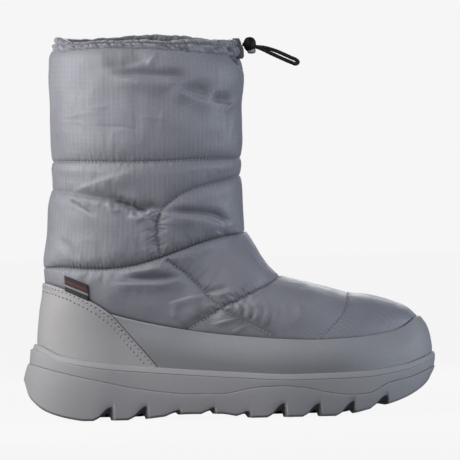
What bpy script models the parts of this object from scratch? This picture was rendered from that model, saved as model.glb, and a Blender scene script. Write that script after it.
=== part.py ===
"""Down boot for the right foot: quilted upper, gathered collar, rand, counter and lugged sole.

Tables are in millimetres and meshes in metres. x runs from the back of the heel to the toe,
y from the outer side (minus) to the inner side (plus), z up from the floor.
"""
import math

import bmesh
import bpy
import numpy as np

MM = 0.001


def table(columns, *rows):
    """Return one array for each named column."""
    return {name: np.array([row[i] for row in rows], float) for i, name in enumerate(columns.split())}


# Driving sizes
RING_HALF = 28
WALL = 7.0
GAP = 0.3
OVERLAY_GAP = 0.4
OVERLAY = 1.5
OVERLAY_SINK = 0.6
SINK_ABOVE = 2.0
SINK_RUN = 5.0
CUP_GAP = 0.4
TUCK = 4.0
BUTT = 1.2

# Last: plan of the foot, between the back of the heel and the tip of the toe
HEEL_BACK = 11.1
TOE_TIP = 287.0
HEEL_ROUND_END = 50.0
TOE_ROUND_START = 208.0
TOE_POWER = 2.3
HEEL_BLEND = 125.0
SWING_LOW = 80.0
SWING_HIGH = 140.0
PLAN = table(
    "x centre half",
    (12, 0.0, 37.0),
    (55, 0.0, 37.0),
    (90, -1.2, 36.6),
    (118, -2.0, 37.5),
    (150, -1.6, 42.0),
    (195, 0.0, 48.3),
    (225, 3.0, 48.4),
    (260, 6.5, 47.0),
    (287, 8.5, 46.0),
)

# Last: section of the foot above its side wall, and the crown line from toe to instep
SIDE_WALL_TOP = 40.0
CROWN_POWER = 2.3
CROWN_BEHIND = 1.15
VAMP = table(
    "z x",
    (20, 287.0),
    (45, 287.0),
    (54, 285.9),
    (61.5, 283.5),
    (65.2, 281.0),
    (72.2, 275.0),
    (76.2, 269.6),
    (80.2, 259.5),
    (84.4, 245.0),
    (86.7, 229.5),
    (90.3, 216.3),
    (94.9, 199.5),
    (97.6, 189.5),
    (99.4, 184.5),
    (103.2, 178.2),
    (111.8, 170.6),
    (120.3, 165.8),
    (128.9, 160.6),
    (131.5, 158.6),
)

# Shaft: an oval at each height, which also carries the back of the heel
SHAFT_POWER = 2.15
BLEND_POWER = 10.0
SHAFT = table(
    "z back front half",
    (20, 11.1, 100.0, 20.0),
    (55, 11.1, 116.0, 28.0),
    (76, 12.9, 130.0, 36.0),
    (96, 15.8, 143.0, 41.5),
    (112, 15.0, 150.0, 45.2),
    (132, 18.0, 157.8, 48.5),
    (150, 19.2, 157.2, 50.5),
    (172, 22.0, 157.0, 52.0),
    (195, 22.0, 157.8, 53.2),
    (220, 22.0, 157.9, 54.0),
    (240, 21.6, 160.0, 54.0),
    (250, 21.9, 158.6, 53.2),
    (257, 22.2, 156.0, 51.6),
    (263, 24.4, 152.8, 49.0),
)

# Rings of the upper: end heights at back and front, sag between them and where it is deepest
RING_STEPS = {"ankle": 18, "lower_baffle": 8, "upper_baffle": 3, "collar": 9}
RING_NAMES = ("floor", "ankle", "lower_baffle", "upper_baffle", "collar")
RINGS = table(
    "back_z front_z sag deepest",
    (32.3, 33.3, -11.7, 0.66),
    (108.4, 131.2, -10.0, 0.42),
    (163.4, 170.8, -20.5, 0.575),
    (183.2, 183.5, -1.5, 0.50),
    (262.3, 257.0, 3.0, 0.42),
)

# Rows of those rings that the inside of the wall follows
INNER_ROWS = [0, 4, 7, 11, 14, 18, 22, 26, 29, 34, 38]

# Quilting: troughs along three rings, each from a column counted from the back, and along these
# seams of the side view
SEAM_DEPTH = 3.0
SEAM_REACH = 7.0
RING_SEAMS = {"ankle": 5, "lower_baffle": 0, "upper_baffle": 0}
SEAMS = {
    "shaft_upright": table("x z", (99.4, 147.1), (96.2, 132.3), (98.5, 116.0)),
    "vamp_forward": table("x z", (103.4, 111.7), (122.2, 97.2), (140.9, 77.8), (175.8, 58.0)),
    "vamp_rearward": table("x z", (182.5, 100.5), (171.6, 93.4), (140.9, 77.8), (116.6, 63.4)),
    "toe": table("x z", (229.5, 86.9), (227.8, 79.6), (214.1, 62.2), (208.3, 56.0)),
}

# Edges of the overlays in the side view
RAND_TOP = table(
    "x z", (55, 77.4), (61.7, 75.4), (89.8, 68), (139.8, 59.1), (188.5, 55.1), (206, 54.4),
    (233.5, 55.5), (249.3, 57.2), (261.2, 59.5), (270, 62.6), (277, 67.4), (287, 69.8),
)
COUNTER_TOP = table(
    "x z", (12, 99), (22.5, 96.1), (45.8, 85.9), (61.7, 75.4), (75.8, 59.6), (94, 38),
)
COUNTER_END = 94.0

# Sole: heights along its length, and how far each line stands off the plan of the foot
JOINT = table(
    "x z", (0, 56), (10.5, 54), (25.7, 46.5), (54.7, 40.8), (94.7, 36.8), (147.8, 32.7),
    (192, 30.2), (236, 30.9), (268.7, 35.8), (280, 40.2), (291, 46.4),
)
PARTING = table(
    "x z", (0, 42), (27, 34.3), (56.5, 27.3), (86, 21.2), (120.7, 17.6), (138.3, 17.4),
    (165, 21.4), (181.5, 22), (197.7, 20.6), (213.9, 17), (230, 15), (243, 15.6), (257, 22.4),
    (273.5, 26.4), (291, 33.6),
)
BOTTOM = table(
    "x z", (0, 28.5), (2, 19.6), (6, 13.9), (13, 8.1), (21.5, 4.4), (33, 1.4), (43, 0), (79, 0),
    (92, 1.3), (115, 3.4), (138, 3.2), (153, 0.8), (160, 0), (222, 0), (232, 1.6), (245, 4.6),
    (258, 7.7), (270, 12), (281, 18.4), (287.4, 24.8), (291, 32),
)
HEEL_REACH = 0.13
TOE_REACH = 0.16
STAND_OFF = {
    "tread": table("side heel toe", (2.2, 9.8, -0.8)),
    "edge": table("side heel toe", (3.8, 11.9, 1.3)),
    "parting": table("side heel toe", (5.4, 8.4, 3.9)),
    "groove": table("side heel toe", (5.0, 6.6, 4.1)),
    "lip": table("side heel toe", (5.2, 5.2, 4.3)),
    "rim": table("side heel toe", (3.1, 3.1, 3.1)),
}
STEP = 0.8
WRAP = 3.5
LIP_HEIGHT = 4.2
GROOVE = 0.8
BASE = 12.0
BASE_DROP = 1.5
CUP_FLOOR = 3.5
TREAD_ROUND = 1.6

# Tread: saw-tooth notches in the edge, and two pads of grip rubber let into the bottom
NOTCHES = table(
    "end run depth",
    (63.6, 15.2, 9.2),
    (88.0, 15.2, 8.6),
    (110.9, 12.0, 3.2),
    (135.4, 11.0, 4.2),
    (160.0, 11.0, 4.4),
    (185.5, 14.6, 9.2),
    (209.8, 13.8, 8.6),
    (233.8, 14.4, 8.2),
    (257.0, 13.4, 6.5),
)
NOTCH_SHAPE = table("share rise", (0, 0.02), (0.5, 0.6), (0.8, 1), (0.93, 0.86), (1, -0.02))
NOTCH_TOP = 0.8
NOTCH_IN = 22.0
CUT_OUT = 90.0
CUT_BELOW = 6.0
PAD_INSET = 11.0
PAD_DEPTH = 9.0
PAD_LIFT = 2.6
PAD_GROOVE = 3.5
PADS = table("start end lugs", (45, 148, 5), (164, 252, 4))

# Trim
INSOLE = 4.5
INSOLE_EASE = 1.4
CASING_WAVES = 16
CASING_RIPPLE = 0.7
CASING = table(
    "inset rise",
    (0.4, 0.4),
    (1.0, 4.2),
    (4.2, 8.2),
    (7.0, 9.3),
    (9.6, 7.4),
    (9.8, 3.2),
    (7.6, 0.4),
)
TAG = {"back": (31.0, 93.6), "front": (47.0, 86.6), "height": 8.6, "thick": 0.9, "off": 0.5}
TAB = table("z half", (253.4, 3.6), (254.6, 6.0), (257.5, 7.4), (262, 7.6), (266, 7.6))
TAB_THICK = 2.6
LOCK = {"x": 164.7, "z": 263.6, "long": 8.8, "wide": 9.0, "tall": 10.4}
CORD = 2.6
CORD_PITCH = 3.0
SLOT_DROP = 1.0
SLOT_SLOPE = -0.2

# Drawcord: heights of its two strands off the lock's middle, and how far each lies to its side
LOOP = table(
    "x above below aside",
    (159.4, 0.1, 0.1, 1.5),
    (164.7, -1.0, -1.0, 1.5),
    (169.5, -1.9, -2.1, 1.5),
    (174.0, -2.4, -4.0, 1.3),
    (179.0, -3.7, -6.6, 0.8),
    (184.0, -5.5, -9.0, 0.3),
    (189.0, -7.8, -11.4, 0.0),
    (193.5, -10.0, -13.4, 0.0),
)
LOOP_END = table("x z", (197.0, -11.6), (198.6, -13.3), (196.9, -14.7))

COLOURS = {
    "upper": (0.24, 0.25, 0.29), "collar_casing": (0.24, 0.25, 0.29), "rand": (0.19, 0.20, 0.23),
    "heel_counter": (0.24, 0.24, 0.26), "midsole": (0.24, 0.24, 0.26), "outsole": (0.22, 0.22, 0.24),
    "grip_pad_heel": (0.01, 0.01, 0.012), "grip_pad_forefoot": (0.01, 0.01, 0.012),
    "insole": (0.05, 0.05, 0.06), "side_tag": (0.02, 0.015, 0.015), "cord_tab": (0.12, 0.13, 0.13),
    "cord_lock": (0.01, 0.012, 0.014), "drawcord": (0.008, 0.008, 0.009),
}


def through(rows, along, value):
    """Return a smooth function through two columns that never overshoots a row."""
    at = rows[along]
    level = rows[value]
    step = np.diff(at)
    slope = np.diff(level) / step
    turn = slope[1:] * slope[:-1] <= 0
    near = 2 * step[1:] + step[:-1]
    far = step[1:] + 2 * step[:-1]
    safe = np.where(slope == 0, 1.0, slope)
    mean = (near + far) / (near / safe[:-1] + far / safe[1:] + turn * 1e9)
    tangent = np.concatenate((slope[:1], np.where(turn, 0.0, mean), slope[-1:]))

    def value_at(query):
        q = np.clip(np.asarray(query, float), at[0], at[-1])
        k = np.clip(np.searchsorted(at, q, side="right") - 1, 0, len(step) - 1)
        t = (q - at[k]) / step[k]
        start = (1 + 2 * t) * (1 - t) ** 2 * level[k] + t * (1 - t) ** 2 * step[k] * tangent[k]
        end = t * t * (3 - 2 * t) * level[k + 1] + t * t * (t - 1) * step[k] * tangent[k + 1]
        return start + end

    return value_at


plan_centre = through(PLAN, "x", "centre")
plan_half = through(PLAN, "x", "half")
vamp_x = through(VAMP, "z", "x")
shaft_back = through(SHAFT, "z", "back")
shaft_front = through(SHAFT, "z", "front")
shaft_half = through(SHAFT, "z", "half")
joint_z = through(JOINT, "x", "z")
parting_z = through(PARTING, "x", "z")
bottom_z = through(BOTTOM, "x", "z")
rand_top = through(RAND_TOP, "x", "z")
counter_top = through(COUNTER_TOP, "x", "z")
INSTEP_Z = VAMP["z"][-1]
CROWN_Z = np.linspace(45.0, INSTEP_Z, 400)
CROWN_X = vamp_x(CROWN_Z)

RING_TURN = np.arange(2 * RING_HALF)
RING_SIDE = np.where(RING_TURN <= RING_HALF, -1.0, 1.0)
RING_C = (1 - np.cos(math.pi * np.minimum(RING_TURN, 2 * RING_HALF - RING_TURN) / RING_HALF)) / 2


def crown_z(x):
    """Height of the foot's top line, carried on up behind the instep."""
    behind = INSTEP_Z + CROWN_BEHIND * np.clip(CROWN_X[-1] - x, 0, 50)
    return np.where(x < CROWN_X[-1], behind, np.interp(x, CROWN_X[::-1], CROWN_Z[::-1]))


def oval(share, power):
    """Height of a unit superellipse at a share of its half length."""
    return (1 - np.clip(np.abs(share), 0, 1) ** power) ** (1 / power)


def foot_plan(x):
    """Half width of the foot at floor level."""
    heel = (HEEL_ROUND_END - np.minimum(x, HEEL_ROUND_END)) / (HEEL_ROUND_END - HEEL_BACK)
    toe = (np.maximum(x, TOE_ROUND_START) - TOE_ROUND_START) / (TOE_TIP - TOE_ROUND_START)
    return plan_half(x) * oval(heel, 2.0) * oval(toe, TOE_POWER)


def half_width(x, z):
    """Half width of the upper: the foot's section and the shaft's oval run into each other."""
    back = shaft_back(z)
    drawn = HEEL_BACK + (x - back) * (HEEL_BLEND - HEEL_BACK) / (HEEL_BLEND - back)
    rise = (np.maximum(z, SIDE_WALL_TOP) - SIDE_WALL_TOP) / (crown_z(x) - SIDE_WALL_TOP)
    foot = foot_plan(np.where(x < HEEL_BLEND, drawn, x)) * oval(rise, CROWN_POWER)
    front = shaft_front(z)
    shaft = shaft_half(z) * oval((2 * x - back - front) / (front - back), SHAFT_POWER)
    return (foot ** BLEND_POWER + shaft ** BLEND_POWER) ** (1 / BLEND_POWER)


def middle_y(x, z):
    """Swing of the middle line towards the inner side, which fades out up the shaft."""
    up = np.clip((z - SWING_LOW) / (SWING_HIGH - SWING_LOW), 0, 1)
    return plan_centre(x) * (1 - up * up * (3 - 2 * up))


def on_last(x, z, side):
    """Points of the upper's smooth outer surface for side-view points and a side of -1 or 1."""
    return np.stack((x, middle_y(x, z) + side * half_width(x, z), z), axis=-1)


def grid_normals(points, closed):
    """Outward unit normals of a grid whose rows climb and whose columns run round the boot."""
    if closed:
        along = np.roll(points, -1, 1) - np.roll(points, 1, 1)
    else:
        along = np.gradient(points, axis=1)
    normal = np.cross(along, np.gradient(points, axis=0))
    return normal / np.maximum(np.linalg.norm(normal, axis=-1, keepdims=True), 1e-9)


def sag_shape(c, deepest):
    """A smooth dip of depth one whose lowest point lies at the given share of the ring."""
    return np.sin(math.pi * c ** (math.log(0.5) / math.log(deepest))) ** 2


def floor_z(x):
    """Height of the cup's floor under the foot."""
    c = np.clip((x - HEEL_BACK) / (TOE_TIP - HEEL_BACK), 0, 1)
    ends = RINGS["back_z"][0] + (RINGS["front_z"][0] - RINGS["back_z"][0]) * c
    return ends + RINGS["sag"][0] * sag_shape(c, RINGS["deepest"][0]) - GAP


def base_z(x):
    """Top of the outsole's base, kept below the parting line and the cup's floor."""
    return np.minimum(np.minimum(bottom_z(x) + BASE, parting_z(x) - BASE_DROP), floor_z(x) - CUP_FLOOR)


def ring_path(back_z, front_x, front_z, sag):
    """Side-view points of one ring of the upper."""
    back_x = shaft_back(back_z)
    x = back_x + (front_x - back_x) * RING_C
    return x, back_z + (front_z - back_z) * RING_C + sag


def upper_rings():
    """Side-view points of all rings from floor to collar, and the row number of each named ring."""
    climb = np.linspace(RINGS["front_z"][0], RINGS["front_z"][1], 400)
    path_x = vamp_x(climb)
    run = np.concatenate(((0.0,), np.cumsum(np.hypot(np.diff(path_x), np.diff(climb)))))
    paths = []
    named = {"floor": 0}
    for k, name in enumerate(RING_NAMES[1:]):
        low = {key: column[k] for key, column in RINGS.items()}
        high = {key: column[k + 1] for key, column in RINGS.items()}
        steps = RING_STEPS[name]
        for step in range(0 if k == 0 else 1, steps + 1):
            f = step / steps
            back = low["back_z"] + (high["back_z"] - low["back_z"]) * f
            front = low["front_z"] + (high["front_z"] - low["front_z"]) * f
            front_x = shaft_front(front)
            if k == 0:
                front = np.interp(f * run[-1], run, climb)
                front_x = vamp_x(front)
            sag = (1 - f) * low["sag"] * sag_shape(RING_C, low["deepest"])
            sag = sag + f * high["sag"] * sag_shape(RING_C, high["deepest"])
            paths.append(ring_path(back, front_x, front, sag))
        named[name] = len(paths) - 1
    return np.array([p[0] for p in paths]), np.array([p[1] for p in paths]), named


def seam_line(rows, samples=24):
    """Points along a smooth line through the rows of a seam."""
    t = np.arange(len(rows["x"]), dtype=float)
    fine = np.linspace(0, t[-1], samples)
    knots = {"t": t, "x": rows["x"], "z": rows["z"]}
    return np.stack((through(knots, "t", "x")(fine), through(knots, "t", "z")(fine)), axis=-1)


def seam_trough(x, z, lines):
    """Depth of the quilting at side-view points: deepest on a seam and fading away from it."""
    depth = np.zeros_like(x)
    for line in lines:
        off = np.min(np.hypot(x[..., None] - line[:, 0], z[..., None] - line[:, 1]), axis=-1)
        depth = np.maximum(depth, SEAM_DEPTH * np.exp(-((off / SEAM_REACH) ** 1.4)))
    return depth


def ring_faces(rows, columns):
    """Quads between closed rings."""
    faces = []
    for r in range(rows - 1):
        for c in range(columns):
            d = (c + 1) % columns
            faces.append((r * columns + c, r * columns + d, (r + 1) * columns + d, (r + 1) * columns + c))
    return faces


def across_faces(first, columns):
    """Quads from the outer to the inner side of one ring, which close it."""
    half = columns // 2
    faces = [(first, first + 1, first + columns - 1), (first + half - 1, first + half, first + half + 1)]
    for c in range(1, half - 1):
        faces.append((first + c, first + c + 1, first + columns - c - 1, first + columns - c))
    return faces


def shell_faces(rows, columns):
    """Faces of a curved plate: outer grid, inner grid after it, and the rim between them."""
    count = rows * columns
    faces = []
    for r in range(rows - 1):
        for c in range(columns - 1):
            a = r * columns + c
            faces.append((a, a + 1, a + columns + 1, a + columns))
            faces.append((count + a, count + a + columns, count + a + columns + 1, count + a + 1))
    rim = list(range(columns))
    rim += [r * columns + columns - 1 for r in range(1, rows)]
    rim += [(rows - 1) * columns + c for c in range(columns - 2, -1, -1)]
    rim += [r * columns for r in range(rows - 2, 0, -1)]
    for a, b in zip(rim, rim[1:] + rim[:1]):
        faces.append((b, a, count + a, count + b))
    return faces


def make_upper():
    """The quilted shell: a stitched outer surface, a smooth inner one and a rim at each end."""
    x, z, named = upper_rings()
    smooth = on_last(x, z, RING_SIDE)
    normal = grid_normals(smooth, True)
    lines = [seam_line(rows) for rows in SEAMS.values()]
    for name, first in RING_SEAMS.items():
        row = named[name]
        lines.append(np.stack((x[row, first:RING_HALF + 1], z[row, first:RING_HALF + 1]), axis=-1))
    trough = seam_trough(x, z, lines)
    edge = np.maximum(rand_top(x), np.where(x < COUNTER_END, counter_top(x), 0))
    under = np.clip((edge + SINK_ABOVE - z) / SINK_RUN, 0, 1)
    outer = smooth - normal * np.maximum(trough * (1 - under), OVERLAY_SINK * under)[..., None]
    inner = smooth[INNER_ROWS] - normal[INNER_ROWS] * WALL
    flat = normal[[0, -1]] * (1.0, 1.0, 0.0)
    flat = flat / np.linalg.norm(flat, axis=-1, keepdims=True)
    inner[0] = outer[0] - flat[0] * WALL
    inner[-1] = outer[-1] - flat[1] * WALL
    columns = 2 * RING_HALF
    loops = np.concatenate((outer, inner[::-1]))
    faces = ring_faces(len(loops), columns)
    last = (len(loops) - 1) * columns
    faces += [(last + c, last + (c + 1) % columns, (c + 1) % columns, c) for c in range(columns)]
    return {"upper": (loops.reshape(-1, 3), faces)}, outer[-1], flat[1]


def plan_ring(rows, shift=0.0):
    """Plan of the foot at floor level, pushed out by a stand-off at side, heel and toe."""
    x = HEEL_BACK + (TOE_TIP - HEEL_BACK) * RING_C
    points = on_last(x, SIDE_WALL_TOP + 0 * x, RING_SIDE)[:, :2]
    along = np.roll(points, -1, 0) - np.roll(points, 1, 0)
    out = np.stack((along[:, 1], -along[:, 0]), axis=-1)
    out = out / np.linalg.norm(out, axis=-1, keepdims=True)
    heel = np.clip(1 - RING_C / HEEL_REACH, 0, 1) ** 2
    toe = np.clip(1 - (1 - RING_C) / TOE_REACH, 0, 1) ** 2
    side = rows["side"][0]
    off = side + (rows["heel"][0] - side) * heel + (rows["toe"][0] - side) * toe + shift
    return points + out * off[:, None]


def level_ring(plan, height):
    """Lift a plan ring to a height worked out from its own x."""
    return np.concatenate((plan, height(plan[:, 0])[:, None]), axis=1)


def ring_solid(rings):
    """A solid from stacked rings, closed across the first and the last."""
    columns = 2 * RING_HALF
    faces = ring_faces(len(rings), columns)
    faces += across_faces(0, columns)
    faces += across_faces((len(rings) - 1) * columns, columns)
    return np.concatenate(rings), faces


def make_sole():
    """Outsole, midsole and insole as stacks of rings round the foot's plan."""
    same = table("side heel toe", (0, 0, 0))
    cup = CUP_GAP + OVERLAY_GAP + OVERLAY
    part = STAND_OFF["parting"]
    outsole = ring_solid([
        level_ring(plan_ring(STAND_OFF["tread"]), bottom_z),
        level_ring(plan_ring(STAND_OFF["edge"]), lambda x: bottom_z(x) + TREAD_ROUND),
        level_ring(plan_ring(part), lambda x: parting_z(x) - GAP / 2),
        level_ring(plan_ring(part, -WRAP), lambda x: parting_z(x) - GAP / 2),
        level_ring(plan_ring(part, -WRAP), base_z),
    ])
    midsole = ring_solid([
        level_ring(plan_ring(part, -WRAP - GAP), lambda x: base_z(x) + GAP),
        level_ring(plan_ring(part, -WRAP - GAP), lambda x: parting_z(x) + GAP / 2),
        level_ring(plan_ring(part, -STEP), lambda x: parting_z(x) + GAP / 2),
        level_ring(plan_ring(STAND_OFF["groove"]), lambda x: joint_z(x) - LIP_HEIGHT - GROOVE),
        level_ring(plan_ring(STAND_OFF["groove"], -GROOVE), lambda x: joint_z(x) - LIP_HEIGHT),
        level_ring(plan_ring(STAND_OFF["lip"]), lambda x: joint_z(x) - LIP_HEIGHT + GROOVE / 2),
        level_ring(plan_ring(STAND_OFF["rim"]), lambda x: joint_z(x) + 0.2),
        level_ring(plan_ring(same, cup), joint_z),
        level_ring(plan_ring(same, cup), floor_z),
    ])
    insole = ring_solid([
        level_ring(plan_ring(same, -WALL - INSOLE_EASE), lambda x: floor_z(x) + GAP),
        level_ring(plan_ring(same, -WALL - INSOLE_EASE - 1), lambda x: floor_z(x) + INSOLE),
    ])
    return {"outsole": outsole, "midsole": midsole, "insole": insole}


def overlay(x, z, side, low, high):
    """A plate that lies between two offsets of the upper's smooth surface."""
    points = on_last(x, z, side)
    normal = grid_normals(points, False)
    rows, columns = x.shape
    plate = np.concatenate((points + normal * high, points + normal * low))
    return plate.reshape(-1, 3), shell_faces(rows, columns)


def overlay_height(x, top, share):
    """Height at a share of the way from an overlay's tucked lower edge to its top edge."""
    bottom = np.maximum(joint_z(x) - TUCK, floor_z(x) + 1)
    return bottom + (top(x) - bottom) * share


def make_overlays():
    """Heel counter round the back, rand round the toe up to the counter, and the side tag."""
    low = OVERLAY_GAP
    high = OVERLAY_GAP + OVERLAY
    turn = np.linspace(1, -1, 23)[None, :]
    share = np.abs(turn) ** 2
    t = np.linspace(0, 1, 5)[:, None]
    x = HEEL_BACK + (COUNTER_END - HEEL_BACK) * share
    for settle in range(4):
        z = overlay_height(x, counter_top, t)
        x = shaft_back(z) + (COUNTER_END - shaft_back(z)) * share
    counter = overlay(x, z, np.sign(turn) + 0 * t, low, high)

    turn = np.linspace(-1, 1, 35)[None, :]
    t = np.array((0, 0.15, 0.3, 0.55, 0.8, 1))[:, None]
    scan = np.linspace(56, 110, 400)[None, :]
    behind = np.where(scan < COUNTER_END + BUTT, counter_top(scan) + BUTT, 0)
    lead = overlay_height(scan, rand_top, t) - behind
    end = np.array([np.interp(0, row, scan[0]) for row in lead])[:, None]
    share = np.abs(turn) ** 1.8
    x = TOE_TIP - (TOE_TIP - end) * share
    for settle in range(4):
        z = overlay_height(x, rand_top, t)
        x = vamp_x(z) - (vamp_x(z) - end) * share
    rand = overlay(x[:, ::-1], z[:, ::-1], -np.sign(turn[:, ::-1]) + 0 * t, low, high)

    across = np.linspace(0, 1, 4)[None, :]
    up = np.linspace(0, 1, 3)[:, None]
    x = TAG["back"][0] + (TAG["front"][0] - TAG["back"][0]) * across + 0 * up
    z = TAG["back"][1] + (TAG["front"][1] - TAG["back"][1]) * across + TAG["height"] * up
    tag = overlay(x, z, -1 + 0 * x, TAG["off"], TAG["off"] + TAG["thick"])
    return {"heel_counter": counter, "rand": rand, "side_tag": tag}


def make_casing(rim, normal):
    """The gathered band on the collar: a rippled profile carried round the upper's top ring."""
    turn = np.arange(2 * RING_HALF) * 2 * math.pi / (2 * RING_HALF)
    wave = np.sin(CASING_WAVES * turn + 0.9 * np.sin(3 * turn))
    loops = []
    for inset, rise in zip(CASING["inset"], CASING["rise"]):
        share = min(1.0, max(0.0, (rise - 0.4) / 4))
        off = inset - CASING_RIPPLE * share * wave * (1 if inset < 7 else -1)
        lift = np.stack((0 * turn, 0 * turn, rise + 0.4 * share * wave), axis=-1)
        loops.append(rim - normal * off[:, None] + lift)
    loops = np.array(loops)
    faces = ring_faces(len(loops), 2 * RING_HALF)
    last = (len(loops) - 1) * 2 * RING_HALF
    for c in range(2 * RING_HALF):
        d = (c + 1) % (2 * RING_HALF)
        faces.append((last + c, last + d, d, c))
    return {"collar_casing": (loops.reshape(-1, 3), faces)}


def make_tab():
    """The cord tab: a rounded tongue of cloth against the front of the collar."""
    share = np.linspace(-1, 1, 7)[None, :]
    z = TAB["z"][:, None] + 0 * share
    y = TAB["half"][:, None] * share
    low = np.minimum(z, 257.0)
    back = shaft_back(low)
    front = shaft_front(low)
    reach = (front - back) / 2 * oval(y / shaft_half(low), SHAFT_POWER)
    x = (front + back) / 2 + reach + 0.5
    skin = np.stack((x, y, z), axis=-1)
    puffed = skin + np.stack((TAB_THICK * (1 - 0.3 * share ** 2) + 0 * z, 0 * y, 0 * z), axis=-1)
    faces = shell_faces(*z.shape)
    return {"cord_tab": (np.concatenate((puffed, skin)).reshape(-1, 3), faces)}


def strip_solid(x, y_low, y_high, z_low, z_high):
    """A bar along x with a four-cornered section at each station."""
    loop = np.stack((
        np.stack((x, y_low, z_low), axis=-1), np.stack((x, y_high, z_low), axis=-1),
        np.stack((x, y_high, z_high), axis=-1), np.stack((x, y_low, z_high), axis=-1),
    ), axis=1)
    faces = ring_faces(len(x), 4)
    end = 4 * (len(x) - 1)
    return loop.reshape(-1, 3), faces + [(3, 2, 1, 0), (end, end + 1, end + 2, end + 3)]


def pad_stations(start, end, lugs):
    """Stations along a pad with a step at each side of its grooves, and the groove depth there."""
    pitch = (end - start) / lugs
    x = []
    cut = []
    for k in range(lugs):
        first = start + k * pitch
        x += [first, first + 0.32 * pitch, first + 0.64 * pitch]
        cut += [0, 0, 0]
        if k < lugs - 1:
            x += [first + 0.66 * pitch, first + 0.98 * pitch]
            cut += [PAD_GROOVE, PAD_GROOVE]
        else:
            x.append(end)
            cut.append(0)
    return np.array(x), np.array(cut, float)


def pad_bar(start, end, lugs, margin):
    """A grip pad, or the pocket for it when there is a margin."""
    x, cut = pad_stations(start - margin, end + margin, lugs)
    half = np.maximum(foot_plan(x) - PAD_INSET + margin, 4)
    middle = plan_centre(x)
    low = bottom_z(x) + PAD_LIFT + cut if margin == 0 else bottom_z(x) - CUT_BELOW
    return strip_solid(x, middle - half, middle + half, low, bottom_z(x) + PAD_DEPTH - GAP + margin)


def make_pads():
    """The two grip pads and the pockets for them."""
    solids = {}
    pockets = []
    for name, start, end, lugs in zip(("grip_pad_heel", "grip_pad_forefoot"), *PADS.values()):
        solids[name] = pad_bar(start, end, int(lugs), 0)
        pockets.append(pad_bar(start, end, int(lugs), GAP))
    return solids, joined(pockets)


def make_notches():
    """Saw-tooth bars that cut the lugs out of both edges of the outsole."""
    bars = []
    share = np.concatenate(((0,), NOTCH_SHAPE["share"], (1,)))
    for end, run, depth in zip(*NOTCHES.values()):
        peak = end - run * (1 - NOTCH_TOP)
        x = end - run * (1 - share)
        z = bottom_z(peak) + np.concatenate(((-CUT_BELOW,), depth * NOTCH_SHAPE["rise"], (-CUT_BELOW,)))
        middle = plan_centre(peak)
        for side in (-1, 1):
            ends = [middle + side * (foot_plan(peak) - NOTCH_IN), middle + side * CUT_OUT]
            verts = np.concatenate([np.stack((x, y + 0 * x, z), axis=-1) for y in ends])
            n = len(x)
            faces = [tuple(range(n)), tuple(range(2 * n - 1, n - 1, -1))]
            faces += [(i, (i + 1) % n, n + (i + 1) % n, n + i) for i in range(n)]
            bars.append((verts, faces))
    return joined(bars)


def joined(solids):
    """Several solids as one list of points and faces."""
    verts = []
    faces = []
    count = 0
    for points, polygons in solids:
        verts.append(points)
        faces += [tuple(i + count for i in polygon) for polygon in polygons]
        count += len(points)
    return np.concatenate(verts), faces


def add_material(name):
    """One plain material named for the piece."""
    material = bpy.data.materials.new(name)
    material.use_nodes = True
    shader = material.node_tree.nodes["Principled BSDF"]
    shader.inputs["Base Color"].default_value = (*COLOURS[name], 1.0)
    shader.inputs["Roughness"].default_value = 0.6
    return material


def add_solid(name, solid, middle, collection):
    """Put a solid into the scene in metres, with its faces turned outwards."""
    points, faces = solid
    mesh = bpy.data.meshes.new(name)
    bm = bmesh.new()
    verts = [bm.verts.new(p) for p in (np.asarray(points) - middle) * MM]
    for face in faces:
        bm.faces.new([verts[i] for i in face])
    bmesh.ops.recalc_face_normals(bm, faces=bm.faces)
    bmesh.ops.triangulate(bm, faces=bm.faces, quad_method="SHORT_EDGE")
    bm.to_mesh(mesh)
    bm.free()
    piece = bpy.data.objects.new(name, mesh)
    collection.objects.link(piece)
    if name in COLOURS:
        mesh.materials.append(add_material(name))
    return piece


def add_cut(piece, cutter):
    """Take the cutter's shape out of a piece."""
    cut = piece.modifiers.new(cutter.name, "BOOLEAN")
    cut.operation = "DIFFERENCE"
    cut.solver = "EXACT"
    cut.object = cutter
    cutter.hide_render = True
    cutter.display_type = "WIRE"


def slot_solid():
    """A slot through the lock for the two strands of the cord side by side, sloping with them."""
    radius = CORD / 2 + GAP
    turn = np.arange(16) * 2 * math.pi / 16 + math.pi / 16
    y = radius * np.cos(turn) + CORD_PITCH / 2 * np.sign(np.cos(turn))
    z = radius * np.sin(turn) + LOCK["z"] - SLOT_DROP
    ends = [s * LOCK["long"] for s in (-1, 1)]
    verts = np.concatenate([
        np.stack((LOCK["x"] + run + 0 * y, y, z + SLOT_SLOPE * run), axis=-1) for run in ends
    ])
    faces = [tuple(range(16)), tuple(range(31, 15, -1))]
    faces += [(i, (i + 1) % 16, 16 + (i + 1) % 16, 16 + i) for i in range(16)]
    return verts, faces


def lock_solid():
    """The barrel of the cord lock: a ball drawn out upwards."""
    bm = bmesh.new()
    bmesh.ops.create_uvsphere(bm, u_segments=14, v_segments=8, radius=0.5)
    points = np.array([v.co[:] for v in bm.verts])
    faces = [tuple(v.index for v in face.verts) for face in bm.faces]
    bm.free()
    size = np.array((LOCK["long"], LOCK["wide"], LOCK["tall"]))
    return points * size + (LOCK["x"], 0, LOCK["z"]), faces


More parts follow.
